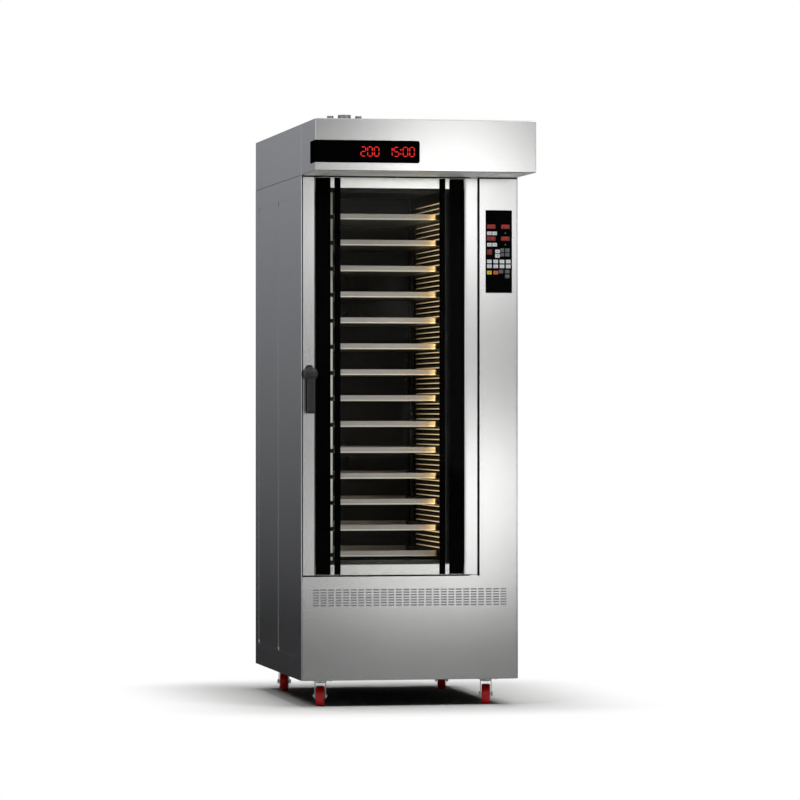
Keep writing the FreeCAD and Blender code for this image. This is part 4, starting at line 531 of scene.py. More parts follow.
# A screw head's outline from the floor of its socket, as shares of its radius and its rise.
SCREW_OUTLINE = ((0, 0.35), (0.42, 0.35), (0.46, 0.95), (0.75, 0.9), (1, 0.35), (1, 0), (0, 0))
SCREW_RISE = 0.3
SCREW_STEPS = 10


def screw(bm, foot, axis, radius):
    """A low domed screw head with a socket, standing on a sheet."""
    rise = SCREW_RISE * radius
    turned(bm, [(wide * radius, tall * rise) for wide, tall in SCREW_OUTLINE], foot, axis, SCREW_STEPS)


def evenly(low, high, inset, count):
    """Evenly spaced places between two ends, from one inset to the other."""
    return [low + inset + (high - low - 2 * inset) * step / (count - 1) for step in range(count)]


def new_piece(name, bm, finish_name, body):
    """Make an object of a finished bmesh, and let it ride on a body."""
    bmesh.ops.recalc_face_normals(bm, faces=bm.faces)
    for face in bm.faces:
        face.smooth = True
    for edge in bm.edges:
        edge.smooth = edge.calc_face_angle(0.0) < SHARP
    mesh = bpy.data.meshes.new(name)
    bm.to_mesh(mesh)
    bm.free()
    mesh.materials.append(finish(finish_name))
    piece = bpy.data.objects.new(name, mesh)
    bpy.context.scene.collection.objects.link(piece)
    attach(piece, body)
    return piece


# Bars of a seven-bar digit: centre as shares of width and height, and whether the bar stands upright.
BARS = {"a": (0.5, 1.0, False), "b": (1.0, 0.75, True), "c": (1.0, 0.25, True), "d": (0.5, 0.0, False),
        "e": (0.0, 0.25, True), "f": (0.0, 0.75, True), "g": (0.5, 0.5, False)}
LIT = {"0": "abcdef", "1": "bc", "2": "abdeg", "3": "abcdg", "4": "bcfg", "5": "acdfg", "6": "acdefg",
       "7": "abc", "8": "abcdefg", "9": "abcdfg"}

# Shares of a digit's height: its width, the step to the next, the bars' stroke, a colon's dots and step.
DIGIT_WIDTH = 0.52
DIGIT_STEP = 0.74
BAR_STROKE = 0.12
COLON_DOTS = (0.28, 0.72)
COLON_STEP = 0.27

# A bar's length as a share of its side of the digit, and a colon's dot as a share of the stroke.
BAR_RUN = 0.86
COLON_DOT = 1.4


def bar(bm, centre, upright, run, stroke, depth):
    """A six-sided display bar facing the front."""
    long_way = Vector((0, 0, 1)) if upright else Vector((1, 0, 0))
    facing = Vector(TO_FRONT)
    side = long_way.cross(facing)
    turn = Matrix((side, long_way, facing)).transposed().to_4x4()
    shape = Matrix.Translation(centre) @ turn @ Matrix.Diagonal((stroke / 2, run / 2, depth, 1.0))
    bmesh.ops.create_cone(bm, cap_ends=True, segments=6, radius1=1.0, radius2=1.0, depth=1.0, matrix=shape)


def number(bm, text, left, foot, face, height, depth):
    """Seven-bar digits facing the front; a colon takes less than a place, a blank a whole one."""
    width = DIGIT_WIDTH * height
    stroke = BAR_STROKE * height
    dot = COLON_DOT * stroke
    for sign in text:
        if sign == ":":
            for share in COLON_DOTS:
                bar(bm, (left, face, foot + share * height), True, dot, dot, depth)
            left += COLON_STEP * height
            continue
        for letter in LIT.get(sign, ""):
            over, rise, upright = BARS[letter]
            run = height / 2 if upright else width
            bar(bm, (left + over * width, face, foot + rise * height), upright, BAR_RUN * run, stroke, depth)
        left += DIGIT_STEP * height


class OVEN_OT_cabinet_finish(bpy.types.Operator):
    """Finish the cabinet's sheets, roof, hood and rear"""
    bl_idname = "oven.cabinet_finish"
    bl_label = "Finish the cabinet"

    def execute(self, context):
        dress("satin_stainless_upright", "left_side_panel", "right_side_panel", "front_panel", "rear_panel",
              "hinge_plates")
        dress("satin_stainless_level", "canopy", "roof_box", "base_pan")
        dress("blued_pipe_steel", "roof_pipes")
        dress("smoked_acrylic", "display_strip")
        dress("matt_black_membrane", "control_bezel")
        dress("black_moulded_nylon", "cable_gland")
        dress("aluminised_fleece", "intake_filter")
        dress("pressed_mineral_wool", "insulation_slabs")
        dress("grey_motor_paint", "electrics_boxes", "fan_motors")
        return {"FINISHED"}


class OVEN_OT_cavity_finish(bpy.types.Operator):
    """Finish the baking cavity, the rack, the trays, the fans and the lamp"""
    bl_idname = "oven.cavity_finish"
    bl_label = "Finish the cavity"

    def execute(self, context):
        dress("heat_toned_stainless", "cavity_liner", "fan_baffle", "fan_wheel_lower", "fan_wheel_upper")
        dress("matt_scaled_steel", "air_duct_panel")
        dress("black_fired_enamel", "facade_frame")
        dress("heat_faded_stainless", "rack_posts")
        dress("dark_runner_steel", "tray_runners")
        dress("rolled_tray_sheet", "baking_trays")
        dress("blackened_heater_steel", "heater_rings")
        dress("warm_lamp_glass", "lamp_bar")
        return {"FINISHED"}


class OVEN_OT_door_finish(bpy.types.Operator):
    """Finish the door frame, its glass, its seal and the handle"""
    bl_idname = "oven.door_finish"
    bl_label = "Finish the door"

    def execute(self, context):
        dress("satin_stainless_upright", "door_frame", "inner_skin")
        dress("toughened_glass", "inner_glass")
        dress("black_silicone_seal", "door_gasket")
        dress("black_moulded_nylon", "handle_plate", "handle_lever")
        dress("zinc_plate", "latch_spindle")
        return {"FINISHED"}


KEYS = {"key_upper_one": "minus", "key_upper_two": "plus",
        "key_middle_one": "minus", "key_middle_two": "plus",
        "key_step_up": "up", "key_step_down": "down",
        "key_grid_high_one": "1", "key_grid_high_two": "2",
        "key_grid_high_three": "3", "key_grid_high_four": "4",
        "key_grid_low_one": "5", "key_grid_low_two": "6",
        "key_grid_low_three": "7", "key_grid_low_four": "8",
        "key_start": "start", "key_stop": "stop"}
KEY_CAPS = {"start": "yellow_key_silicone", "stop": "orange_key_silicone"}
ARROW_TURNS = {"up": 0.0, "down": math.pi, "start": math.pi / 2}

# Printed marks: thickness and the share of it that stands proud, then the sizes of digits, bars, arrows and
# half a square.
KEY_INK = 0.12 * MM
KEY_INK_PROUD = 0.3
KEY_DIGIT = 6 * MM
KEY_BAR = 7 * MM
KEY_BAR_STROKE = 1.3 * MM
KEY_ARROW = 3.4 * MM
KEY_SQUARE = 2.4 * MM
KEY_SQUARE_EDGE = 0.02 * MM


class OVEN_OT_key_finish(bpy.types.Operator):
    """Finish the key caps and print a plain mark on each"""
    bl_idname = "oven.key_finish"
    bl_label = "Finish the keys"

    def execute(self, context):
        for key, mark in KEYS.items():
            dress(KEY_CAPS.get(mark, "white_key_silicone"), key)
            low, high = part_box(key)
            middle = (low + high) / 2
            middle.y = low.y - KEY_INK_PROUD * KEY_INK
            bm = bmesh.new()
            if mark.isdigit():
                number(bm, mark, middle.x - DIGIT_WIDTH * KEY_DIGIT / 2, middle.z - KEY_DIGIT / 2, middle.y,
                       KEY_DIGIT, KEY_INK)
            if mark in ("plus", "minus"):
                bar(bm, middle, False, KEY_BAR, KEY_BAR_STROKE, KEY_INK)
            if mark == "plus":
                bar(bm, middle, True, KEY_BAR, KEY_BAR_STROKE, KEY_INK)
            if mark in ARROW_TURNS:
                upright = Matrix.Rotation(math.pi / 2, 4, "X")
                shape = Matrix.Translation(middle) @ Matrix.Rotation(ARROW_TURNS[mark], 4, "Y") @ upright
                bmesh.ops.create_cone(bm, cap_ends=True, segments=3, radius1=KEY_ARROW, radius2=KEY_ARROW,
                                      depth=KEY_INK, matrix=shape)
            if mark == "stop":
                half = Vector((KEY_SQUARE, KEY_INK / 2, KEY_SQUARE))
                slab(bm, middle - half, middle + half, KEY_SQUARE_EDGE)
            new_piece(f"{key}_mark", bm, "black_key_ink", f"{key}_cap")
        return {"FINISHED"}


# Control screens as left, top, width and height in millimetres from the bezel's upper left corner, with what
# they show; then the spare keys, and the middles of the signal lights, in the same measure.
SCREENS = ((4.5, 53.5, 37, 20, "200"), (58.5, 53.5, 37, 20, "200"), (4.5, 98, 37, 20, "015"),
           (58.5, 98, 37, 20, "000"), (4.5, 146, 24, 24, "1"))
SPARE_KEYS = ((59, 146, 15, 15), (77.7, 146, 17, 15), (59, 164, 15, 12), (77.7, 164, 17, 12),
              (53.5, 226, 17, 13), (77.5, 226, 17, 13), (77.5, 244, 17, 13))
SIGNAL_LIGHTS = ((79, 89), (79, 132))
SIGNAL_DOME = ((0, 1.0), (1.2, 0.8), (2.0, 0), (0, 0))

# Fronts and backs of lenses and spare keys behind the bezel's face, and their rounding.
LENS_DEPTH = (0.25 * MM, 0.6 * MM)
LENS_EDGE = 0.08 * MM
SPARE_DEPTH = (-0.5 * MM, 0.1 * MM)
SPARE_EDGE = 0.25 * MM
SEGMENT_SUNK = 0.2 * MM
SEGMENT_THICK = 0.15 * MM


class OVEN_OT_control_screens(bpy.types.Operator):
    """Set the control screens, their digits, the spare keys and the signal lights in the bezel"""
    bl_idname = "oven.control_screens"
    bl_label = "Fit the control screens"

    def execute(self, context):
        low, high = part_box("control_bezel")
        face = low.y
        lenses, digits, spares, lights = bmesh.new(), bmesh.new(), bmesh.new(), bmesh.new()
        height = context.scene.oven_sizes.screen_digit
        for left, top, width, tall, text in SCREENS:
            x = low.x + left * MM
            z = high.z - top * MM
            slab(lenses, (x, face + LENS_DEPTH[0], z - tall * MM),
                 (x + width * MM, face + LENS_DEPTH[1], z), LENS_EDGE)
            run = (len(text) - 1) * DIGIT_STEP * height + DIGIT_WIDTH * height
            number(digits, text, x + width * MM / 2 - run / 2, z - tall * MM / 2 - height / 2,
                   face + SEGMENT_SUNK, height, SEGMENT_THICK)
        for left, top, width, tall in SPARE_KEYS:
            x = low.x + left * MM
            z = high.z - top * MM
            slab(spares, (x, face + SPARE_DEPTH[0], z - tall * MM),
                 (x + width * MM, face + SPARE_DEPTH[1], z), SPARE_EDGE)
        for left, top in SIGNAL_LIGHTS:
            turned(lights, in_mm(SIGNAL_DOME), (low.x + left * MM, face, high.z - top * MM), TO_FRONT,
                   steps=16)
        new_piece("screen_lenses", lenses, "glowing_red_lens", "cabinet")
        new_piece("screen_digits", digits, "lit_red_segment", "cabinet")
        new_piece("spare_keys", spares, "grey_key_silicone", "cabinet")
        new_piece("signal_lights", lights, "lit_green_dot", "cabinet")
        return {"FINISHED"}


# The strip's digits start this far from its left end, and are this thick.
STRIP_START = 168 * MM
STRIP_SEGMENT = 0.3 * MM


class OVEN_OT_strip_digits(bpy.types.Operator):
    """Light plain digits on the hood's display strip"""
    bl_idname = "oven.strip_digits"
    bl_label = "Light the strip digits"

    text: StringProperty(name="Digits", description="Digits, blanks and colons to show", default="200 15:00")

    def execute(self, context):
        low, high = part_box("display_strip")
        height = context.scene.oven_sizes.strip_digit
        bm = bmesh.new()
        number(bm, self.text, low.x + STRIP_START, (low.z + high.z) / 2 - height / 2, low.y, height,
               STRIP_SEGMENT)
        new_piece("strip_digits", bm, "lit_red_segment", "cabinet")
        return {"FINISHED"}


# The pane's bond line behind, its ground edge, and the print's thickness, margin and edge.
PANE_BOND = 0.4 * MM
PANE_EDGE = 0.8 * MM
PRINT_THICK = 0.6 * MM
PRINT_MARGIN = 1.2 * MM
PRINT_EDGE = 0.1 * MM


class OVEN_OT_outer_pane(bpy.types.Operator):
    """Set the outer door pane with ground edges, and fire the black bands into its inner side"""
    bl_idname = "oven.outer_pane"
    bl_label = "Set the outer pane"

    def execute(self, context):
        sizes = context.scene.oven_sizes
        low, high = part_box("outer_glass")
        back = high.y - PANE_BOND
        glass, bands = bmesh.new(), bmesh.new()
        slab(glass, low, (high.x, back, high.z), PANE_EDGE)
        pane = new_piece("outer_pane", glass, "toughened_glass", "door")
        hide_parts("outer_glass")
        second = sizes.edge_band + sizes.clear_line
        for edge, side in ((low.x, 1), (high.x, -1)):
            for start, stop in ((PRINT_MARGIN, sizes.edge_band), (second, second + sizes.inner_band)):
                left, right = sorted((edge + side * start, edge + side * stop))
                slab(bands, (left, back - 2 * PRINT_THICK, low.z + PRINT_MARGIN),
                     (right, back - PRINT_THICK, high.z - PRINT_MARGIN), PRINT_EDGE, segments=1)
        new_piece("glass_print", bands, "black_glass_print", "door")
        return {"FINISHED"}


# The door's rails are this high, and each spacer laps its rail a little and reaches on over the inner pane.
DOOR_RAIL = 38 * MM
SPACER_LAP = 1 * MM
SPACER_HEIGHT = 16 * MM
SPACER_DEPTH = 2.5 * MM
SPACER_EDGE = 0.6 * MM


class OVEN_OT_pane_spacers(bpy.types.Operator):
    """Lay black spacers between the door's rails and its inner pane; their black is painted shade for the dark
    line along each rail
    """
    bl_idname = "oven.pane_spacers"
    bl_label = "Lay the pane spacers"

    def execute(self, context):
        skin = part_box("inner_skin")[0].y
        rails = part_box("door_frame")
        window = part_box("inner_glass")
        reach = DOOR_RAIL - SPACER_LAP
        bm = bmesh.new()
        # Black strips under the top rail and over the bottom rail: spacers whose black is painted shade.
        for foot in (rails[0].z + reach, rails[1].z - reach - SPACER_HEIGHT):
            slab(bm, (window[0].x, skin - SPACER_DEPTH, foot), (window[1].x, skin, foot + SPACER_HEIGHT),
                 SPACER_EDGE)
        new_piece("pane_spacers", bm, "black_silicone_seal", "door")
        return {"FINISHED"}


# A louvre hood's root behind the duct's face, how far it stands proud, and its lip and root heights.
HOOD_ROOT = 3 * MM
HOOD_PROUD = 0.3 * MM
HOOD_LIP = 1 * MM
HOOD_HEIGHT = 3.2 * MM


class OVEN_OT_louvre_hoods(bpy.types.Operator):
    """Press a sloped hood over each slot of the air duct"""
    bl_idname = "oven.louvre_hoods"
    bl_label = "Press the louvre hoods"

    def execute(self, context):
        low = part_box("air_duct_panel")[0]
        root, lip = low.x + HOOD_ROOT, low.x - HOOD_PROUD
        front, back = LOUVRE_RUN
        bm = bmesh.new()
        for row in range(LOUVRES):
            foot = low.z + LOUVRE_BASE + row * LOUVRE_SPACING
            outline = ((root, foot), (lip, foot), (lip, foot + HOOD_LIP), (root, foot + HOOD_HEIGHT))
            extruded(bm, [(x, front, z) for x, z in outline], (0, back - front, 0))
        new_piece("louvre_hoods", bm, "lamp_lit_scale", "cabinet")
        return {"FINISHED"}


# The coat under the base: its margin, thickness and rounded edge.
COAT_MARGIN = 4 * MM
COAT_THICK = 0.8 * MM
COAT_EDGE = 0.3 * MM


class OVEN_OT_underseal(bpy.types.Operator):
    """Coat the underside of the base pan"""
    bl_idname = "oven.underseal"
    bl_label = "Coat the underside"

    def execute(self, context):
        low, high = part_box("base_pan")
        bm = bmesh.new()
        slab(bm, (low.x + COAT_MARGIN, low.y + COAT_MARGIN, low.z - COAT_THICK),
             (high.x - COAT_MARGIN, high.y - COAT_MARGIN, low.z), COAT_EDGE)
        new_piece("underseal", bm, "black_underseal", "cabinet")
        return {"FINISHED"}


# Plates under the hood: margins, where their seams lie, how far plates and seals hang down and reach up,
# their edges, and the places of the screws across and behind the hood's front.
PLATE_MARGIN = 5 * MM
PLATE_BACK_MARGIN = 8 * MM
PLATE_SEAMS = (-339 * MM, 280 * MM)
PLATE_DROP = 1.2 * MM
SEAL_DROP = 0.7 * MM
PLATE_LAP = 0.1 * MM
PLATE_EDGE = 0.4 * MM
SEAL_EDGE = 0.1 * MM
PLATE_SCREWS_ACROSS = (-374 * MM, 345 * MM)
PLATE_SCREWS_BEHIND = (40 * MM, 270 * MM)


class OVEN_OT_hood_plates(bpy.types.Operator):
    """Close the hood's underside with three plates and open seams between them"""
    bl_idname = "oven.hood_plates"
    bl_label = "Fit the hood plates"

    def execute(self, context):
        low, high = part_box("canopy")
        half = context.scene.oven_sizes.seam / 2
        edges = (low.x + PLATE_MARGIN, *PLATE_SEAMS, high.x - PLATE_MARGIN)
        front, back = low.y + PLATE_MARGIN, high.y - PLATE_BACK_MARGIN
        under, over = low.z - PLATE_DROP, low.z + PLATE_LAP
        plates, seals = bmesh.new(), bmesh.new()
        for left, right in zip(edges, edges[1:]):
            slab(plates, (left + half, front, under), (right - half, back, over), PLATE_EDGE)
        for seam in PLATE_SEAMS:
            slab(seals, (seam - half, front, low.z - SEAL_DROP), (seam + half, back, over), SEAL_EDGE)
        new_piece("hood_seals", seals, "dark_seam_seal", "cabinet")
        for left in PLATE_SCREWS_ACROSS:
            for behind in PLATE_SCREWS_BEHIND:
                screw(plates, (left, low.y + behind, under), TO_FLOOR, context.scene.oven_sizes.screw_head)
        new_piece("hood_plates", plates, "blasted_stainless", "cabinet")
        return {"FINISHED"}


# Joint lines on the roof box: how far they stand proud and lie in, the sealant's half height and end margins,
# the painted highlight strip's run over the joint and its foot and head margins, and the rounding of both.
JOINT_PROUD = 0.03 * MM
JOINT_DEPTH = 1 * MM
SEALANT_HALF = 1.3 * MM
SEALANT_MARGINS = (3 * MM, 8 * MM)
HIGHLIGHT_RUN = (-1.2 * MM, 2.2 * MM)
HIGHLIGHT_MARGINS = (2 * MM, 8 * MM)
JOINT_EDGE = 0.02 * MM


class OVEN_OT_roof_joints(bpy.types.Operator):
    """Seal the joint under the roof box, and lay a pale strip of painted highlight on the edge where the hood
    meets it
    """
    bl_idname = "oven.roof_joints"
    bl_label = "Seal the roof joints"

    def execute(self, context):
        low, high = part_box("roof_box")
        sealant, edges = bmesh.new(), bmesh.new()
        for side, face in ((-1, low.x), (1, high.x)):
            left, right = sorted((face + side * JOINT_PROUD, face - side * JOINT_DEPTH))
            slab(sealant, (left, low.y + SEALANT_MARGINS[0], low.z - SEALANT_HALF),
                 (right, high.y - SEALANT_MARGINS[1], low.z + SEALANT_HALF), JOINT_EDGE, segments=1)
            # A pale strip on the hood's front edge: a painted highlight of its rounding.
            slab(edges, (left, low.y + HIGHLIGHT_RUN[0], low.z + HIGHLIGHT_MARGINS[0]),
                 (right, low.y + HIGHLIGHT_RUN[1], high.z - HIGHLIGHT_MARGINS[1]), JOINT_EDGE, segments=1)
        new_piece("roof_sealant", sealant, "grey_joint_sealant", "cabinet")
        new_piece("hood_edges", edges, "polished_edge_steel", "cabinet")
        return {"FINISHED"}


# Screw rows: insets from the sheet's sides and ends, and how many screws make a row.
REAR_INSETS = (12 * MM, 14 * MM)
REAR_ROWS = 9
REAR_COLUMNS = 5
ROOF_INSETS = (25 * MM, 30 * MM)
ROOF_ROWS = 3
SKIN_INSETS = (10 * MM, 20 * MM)
SKIN_ROWS = 7
HANDLE_PLATE_INSET = 10 * MM


class OVEN_OT_panel_screws(bpy.types.Operator):
    """Set the screws of the rear panel, the roof box, the handle plate and the door's inner skin"""
    bl_idname = "oven.panel_screws"
    bl_label = "Set the panel screws"

    def execute(self, context):
        low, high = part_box("rear_panel")
        side, end = REAR_INSETS
        edges = [(x, high.y, z) for z in evenly(low.z, high.z, end, REAR_ROWS)
                 for x in (low.x + side, high.x - side)]
        ends = [(x, high.y, z) for x in evenly(low.x, high.x, 0, REAR_COLUMNS)[1:-1]
                for z in (low.z + end, high.z - end)]
        self.set_row(context, "rear_screws", edges + ends, TO_REAR, "cabinet")
        low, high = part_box("roof_box")
        side, end = ROOF_INSETS
        roof = [(x, y, high.z) for x in evenly(low.x, high.x, side, ROOF_ROWS)
                for y in evenly(low.y, high.y, end, ROOF_ROWS)]
        self.set_row(context, "roof_screws", roof, TO_ROOF, "cabinet")
        low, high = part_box("handle_plate")
        foot = ((low.x + high.x) / 2, low.y, low.z + HANDLE_PLATE_INSET)
        self.set_row(context, "handle_plate_screw", [foot], TO_FRONT, "door")
        low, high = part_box("inner_skin")
        side, end = SKIN_INSETS
        skin = [(x, high.y, z) for z in evenly(low.z, high.z, end, SKIN_ROWS)
                for x in (low.x + side, high.x - side)]
        self.set_row(context, "inner_skin_screws", skin, TO_REAR, "door")
        return {"FINISHED"}

    def set_row(self, context, name, feet, axis, body):
        """Zinc-plated screws at a list of places, as one piece."""
        bm = bmesh.new()
        for foot in feet:
            screw(bm, foot, axis, context.scene.oven_sizes.screw_head)
        new_piece(name, bm, "zinc_plate", body)


# The gland's lock nut as radius and rise in millimetres.
GLAND_NUT = ((16.1, 0), (22, 0), (22, 3), (20.5, 4.5), (16.1, 4.5), (16.1, 0))


class OVEN_OT_gland_nut(bpy.types.Operator):
    """Put the lock nut round the supply gland"""
    bl_idname = "oven.gland_nut"
    bl_label = "Fit the gland nut"

    def execute(self, context):
        low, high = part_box("cable_gland")
        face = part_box("rear_panel")[1].y
        middle = (low + high) / 2
        bm = bmesh.new()
        turned(bm, in_mm(GLAND_NUT), (middle.x, face, middle.z), TO_REAR, steps=6)
        new_piece("gland_nut", bm, "black_moulded_nylon", "cabinet")
        return {"FINISHED"}


# Along an axle from the wheel's middle: the floor of the wheel's dish, and the outside of the fork.
DISH_FLOOR = 12 * MM
FORK_OUTSIDE = 21.5 * MM
PLATE_THICK = 3 * MM

# A wheel disc as radius and rise in millimetres; radius, rise, sides and bevel of nuts and bolts; and the
# places of the bolts about a swivel in millimetres.
WHEEL_DISC = ((12.2, 0), (12.2, 3.6), (14, 3.6), (17, 1.6), (25, 1.6), (27, 3.4), (29.2, 3.4), (29.2, 0),
              (12.2, 0))
AXLE_NUT = (8.5 * MM, 5 * MM, 6, 0.8 * MM)
PLATE_BOLT = (7 * MM, 5 * MM, 6, 0.7 * MM)
BOLT_PLACES = ((-30, -40), (-30, 40), (30, -40), (30, 40))


class OVEN_OT_caster_fittings(bpy.types.Operator):
    """Finish the casters, and add their wheel discs, axle nuts and plate bolts"""
    bl_idname = "oven.caster_fittings"
    bl_label = "Finish the casters"

    def execute(self, context):
        dress("zinc_plate", "caster_plates")
        bolts = bmesh.new()
        for corner in CORNERS:
            dress("zinc_plate", f"caster_fork_{corner}")
            dress("red_polyurethane", f"caster_wheel_{corner}")
            hub = Vector(JOINTS[f"roll_{corner}"]["pos_m"])
            axle = Vector(JOINTS[f"roll_{corner}"]["axis"])
            discs, nuts = bmesh.new(), bmesh.new()
            for side in (-1, 1):
                out = side * axle
                turned(discs, in_mm(WHEEL_DISC), hub + DISH_FLOOR * out, out, steps=40)
                prism(nuts, hub + FORK_OUTSIDE * out, out, *AXLE_NUT)
            new_piece(f"wheel_discs_{corner}", discs, "black_wheel_nylon", f"wheel_{corner}")
            new_piece(f"axle_nuts_{corner}", nuts, "zinc_plate", f"fork_{corner}")
            swivel = Vector(JOINTS[f"swivel_{corner}"]["pos_m"])
            swivel.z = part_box("caster_plates")[1].z - PLATE_THICK
            for over, back in BOLT_PLACES:
                prism(bolts, swivel + Vector((over, back, 0)) * MM, TO_FLOOR, *PLATE_BOLT)
        new_piece("caster_bolts", bolts, "zinc_plate", "cabinet")
        return {"FINISHED"}


# The handle's hub lies this far below its top. Its cap is given as radius and rise in millimetres.
HUB_DROP = 24 * MM
HUB_CAP = ((0, 2.2), (11, 2.0), (15, 1.4), (17, 0), (0, 0))


class OVEN_OT_handle_cap(bpy.types.Operator):
    """Cap the handle's hub"""
    bl_idname = "oven.handle_cap"
    bl_label = "Cap the handle"

    def execute(self, context):
        low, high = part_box("handle_lever")
        bm = bmesh.new()
        turned(bm, in_mm(HUB_CAP), ((low.x + high.x) / 2, low.y, high.z - HUB_DROP), TO_FRONT, steps=36)
        new_piece("handle_cap", bm, "black_moulded_nylon", "latch_handle")
        return {"FINISHED"}


# Camera fitted to the cabinet's corners in the photograph, for a square frame of 800 pixels.
CAMERA_PLACE = (-2.897, -15.366, 1.099)
CAMERA_TURN = math.radians(-10.81)
CAMERA_LENS = 184.7
CAMERA_SHIFT = 0.0135
CAMERA_REACH = 100.0

# Lamps as name, place, target, width, height and watts. They hang high to keep the shadow under the cabinet.
LAMPS = (("key_softbox", (2.6, -3.6, 5.0), (0.0, -0.3, 1.2), 1.8, 1.8, 170.0),
         ("fill_softbox", (-3.2, -2.8, 4.8), (0.0, 0.0, 1.0), 2.0, 2.0, 90.0),
         ("top_softbox", (0.0, 0.2, 5.6), (0.0, 0.2, 0.0), 2.4, 2.4, 190.0))

# The roof mirrors a card in place of the lamp right above it, which would show as a white patch.
MIRRORED_BY_CARD = "top_softbox"

# The floor's radius, the way in which the shadow runs out, the floor's grit, and the world's soft light.
FLOOR_RADIUS = 16.0
FLOOR_FADE = 0.6
FLOOR_GRIT = 30 * MM
SOFT_LIGHT = 0.03

# Cards that only the steel and the glass mirror: name, middle, width, height, turns about X and Z in degrees,
# brightness at the lower and the upper edge, and tint.
CARDS = (("front_card", (0.3, -4.4, 0.83), 1.2, 0.94, 90, 0, 0.7, 0.38, "#FFFFFF"),
         ("front_right_card", (1.55, -4.4, 0.83), 1.3, 0.94, 90, 0, 0.5, 0.2, "#FFFFFF"),
         ("upper_card", (0.3, -4.4, 1.71), 1.2, 0.82, 90, 0, 0.38, 1.15, "#FFFFFF"),
         ("upper_right_card", (1.55, -4.4, 1.71), 1.3, 0.82, 90, 0, 0.2, 0.88, "#FFFFFF"),
         ("crown_card", (0.76, -4.3, 2.06), 0.66, 0.22, 90, 0, 4.1, 4.1, "#FFFFFF"),
         ("top_card", (1.28, -4.4, 2.6), 1.84, 0.95, 90, 0, 0.3, 0.3, "#FFFFFF"),
         ("hood_end_card", (-0.1, -4.4, 2.6), 0.9, 0.95, 90, 0, 0.14, 0.14, "#FFFFFF"),
         ("hood_card", (0.83, -4.3, 2.44), 0.5, 0.52, 90, 0, 3.0, 0.6, "#FFFFFF"),
         ("edge_card", (1.05, -4.32, 1.25), 0.085, 1.8, 90, 0, 3.2, 3.2, "#FFFFFF"),
         ("low_right_card", (1.1, -4.3, 0.77), 0.26, 0.5, 90, 0, 4.7, 4.7, "#FFFFFF"),
         ("high_right_card", (1.14, -4.3, 1.95), 0.2, 0.42, 90, 0, 3.4, 3.4, "#FFFFFF"),
         ("rail_card", (0.84, -4.3, 0.345), 0.68, 0.12, 90, 0, 4.5, 4.5, "#FFFFFF"),
         ("low_card", (0.7, -4.3, 0.19), 0.66, 0.19, 90, 0, 0.3, 0.3, "#FFFFFF"),
         ("plinth_card", (0.75, -4.4, 0.1), 2.6, 0.2, 90, 0, 0.04, 0.04, "#FFFFFF"),
         ("near_floor_card", (0.6, -1.4, 0.004), 4.0, 2.0, 0, 0, 0.23, 0.23, "#FFFFFF"),
         ("floor_card", (0.6, -4.2, 0.004), 4.0, 3.6, 0, 0, 0.06, 0.06, "#FFFFFF"),
         ("front_left_card", (-2.9, -4.4, 2.0), 4.6, 4.0, 90, 0, 0.15, 0.6, "#FFFFFF"),
         ("side_card", (-1.25, 5.0, 2.74), 2.1, 5.52, 90, 0, 0.02, 0.68, "#F6F8FF"),
         ("far_side_card", (-4.25, 5.0, 2.74), 3.9, 5.52, 90, 0, 0.2, 0.7, "#F6F8FF"),
         ("side_floor_card", (-1.36, 2.3, 0.004), 1.88, 5.3, 0, 0, 0.03, 0.03, "#F6F8FF"),
         ("far_side_floor_card", (-4.1, 2.3, 0.004), 3.6, 5.3, 0, 0, 0.2, 0.2, "#F6F8FF"),
         ("rear_right_card", (1.9, 5.0, 1.3), 3.0, 2.6, 90, 0, 0.04, 0.4, "#FFFFFF"),
         ("right_card", (5.0, 0.5, 2.9), 11.0, 5.5, 90, -90, 0.4, 0.9, "#FFFFFF"),
         ("right_floor_card", (2.75, 2.3, 0.085), 5.4, 4.5, 2, -90, 0.1, 0.4, "#FFFFFF"),
         ("roof_card", (0.0, 0.2, 5.9), 6.0, 6.0, 12, 0, 0.95, 0.35, "#FFFFFF"))


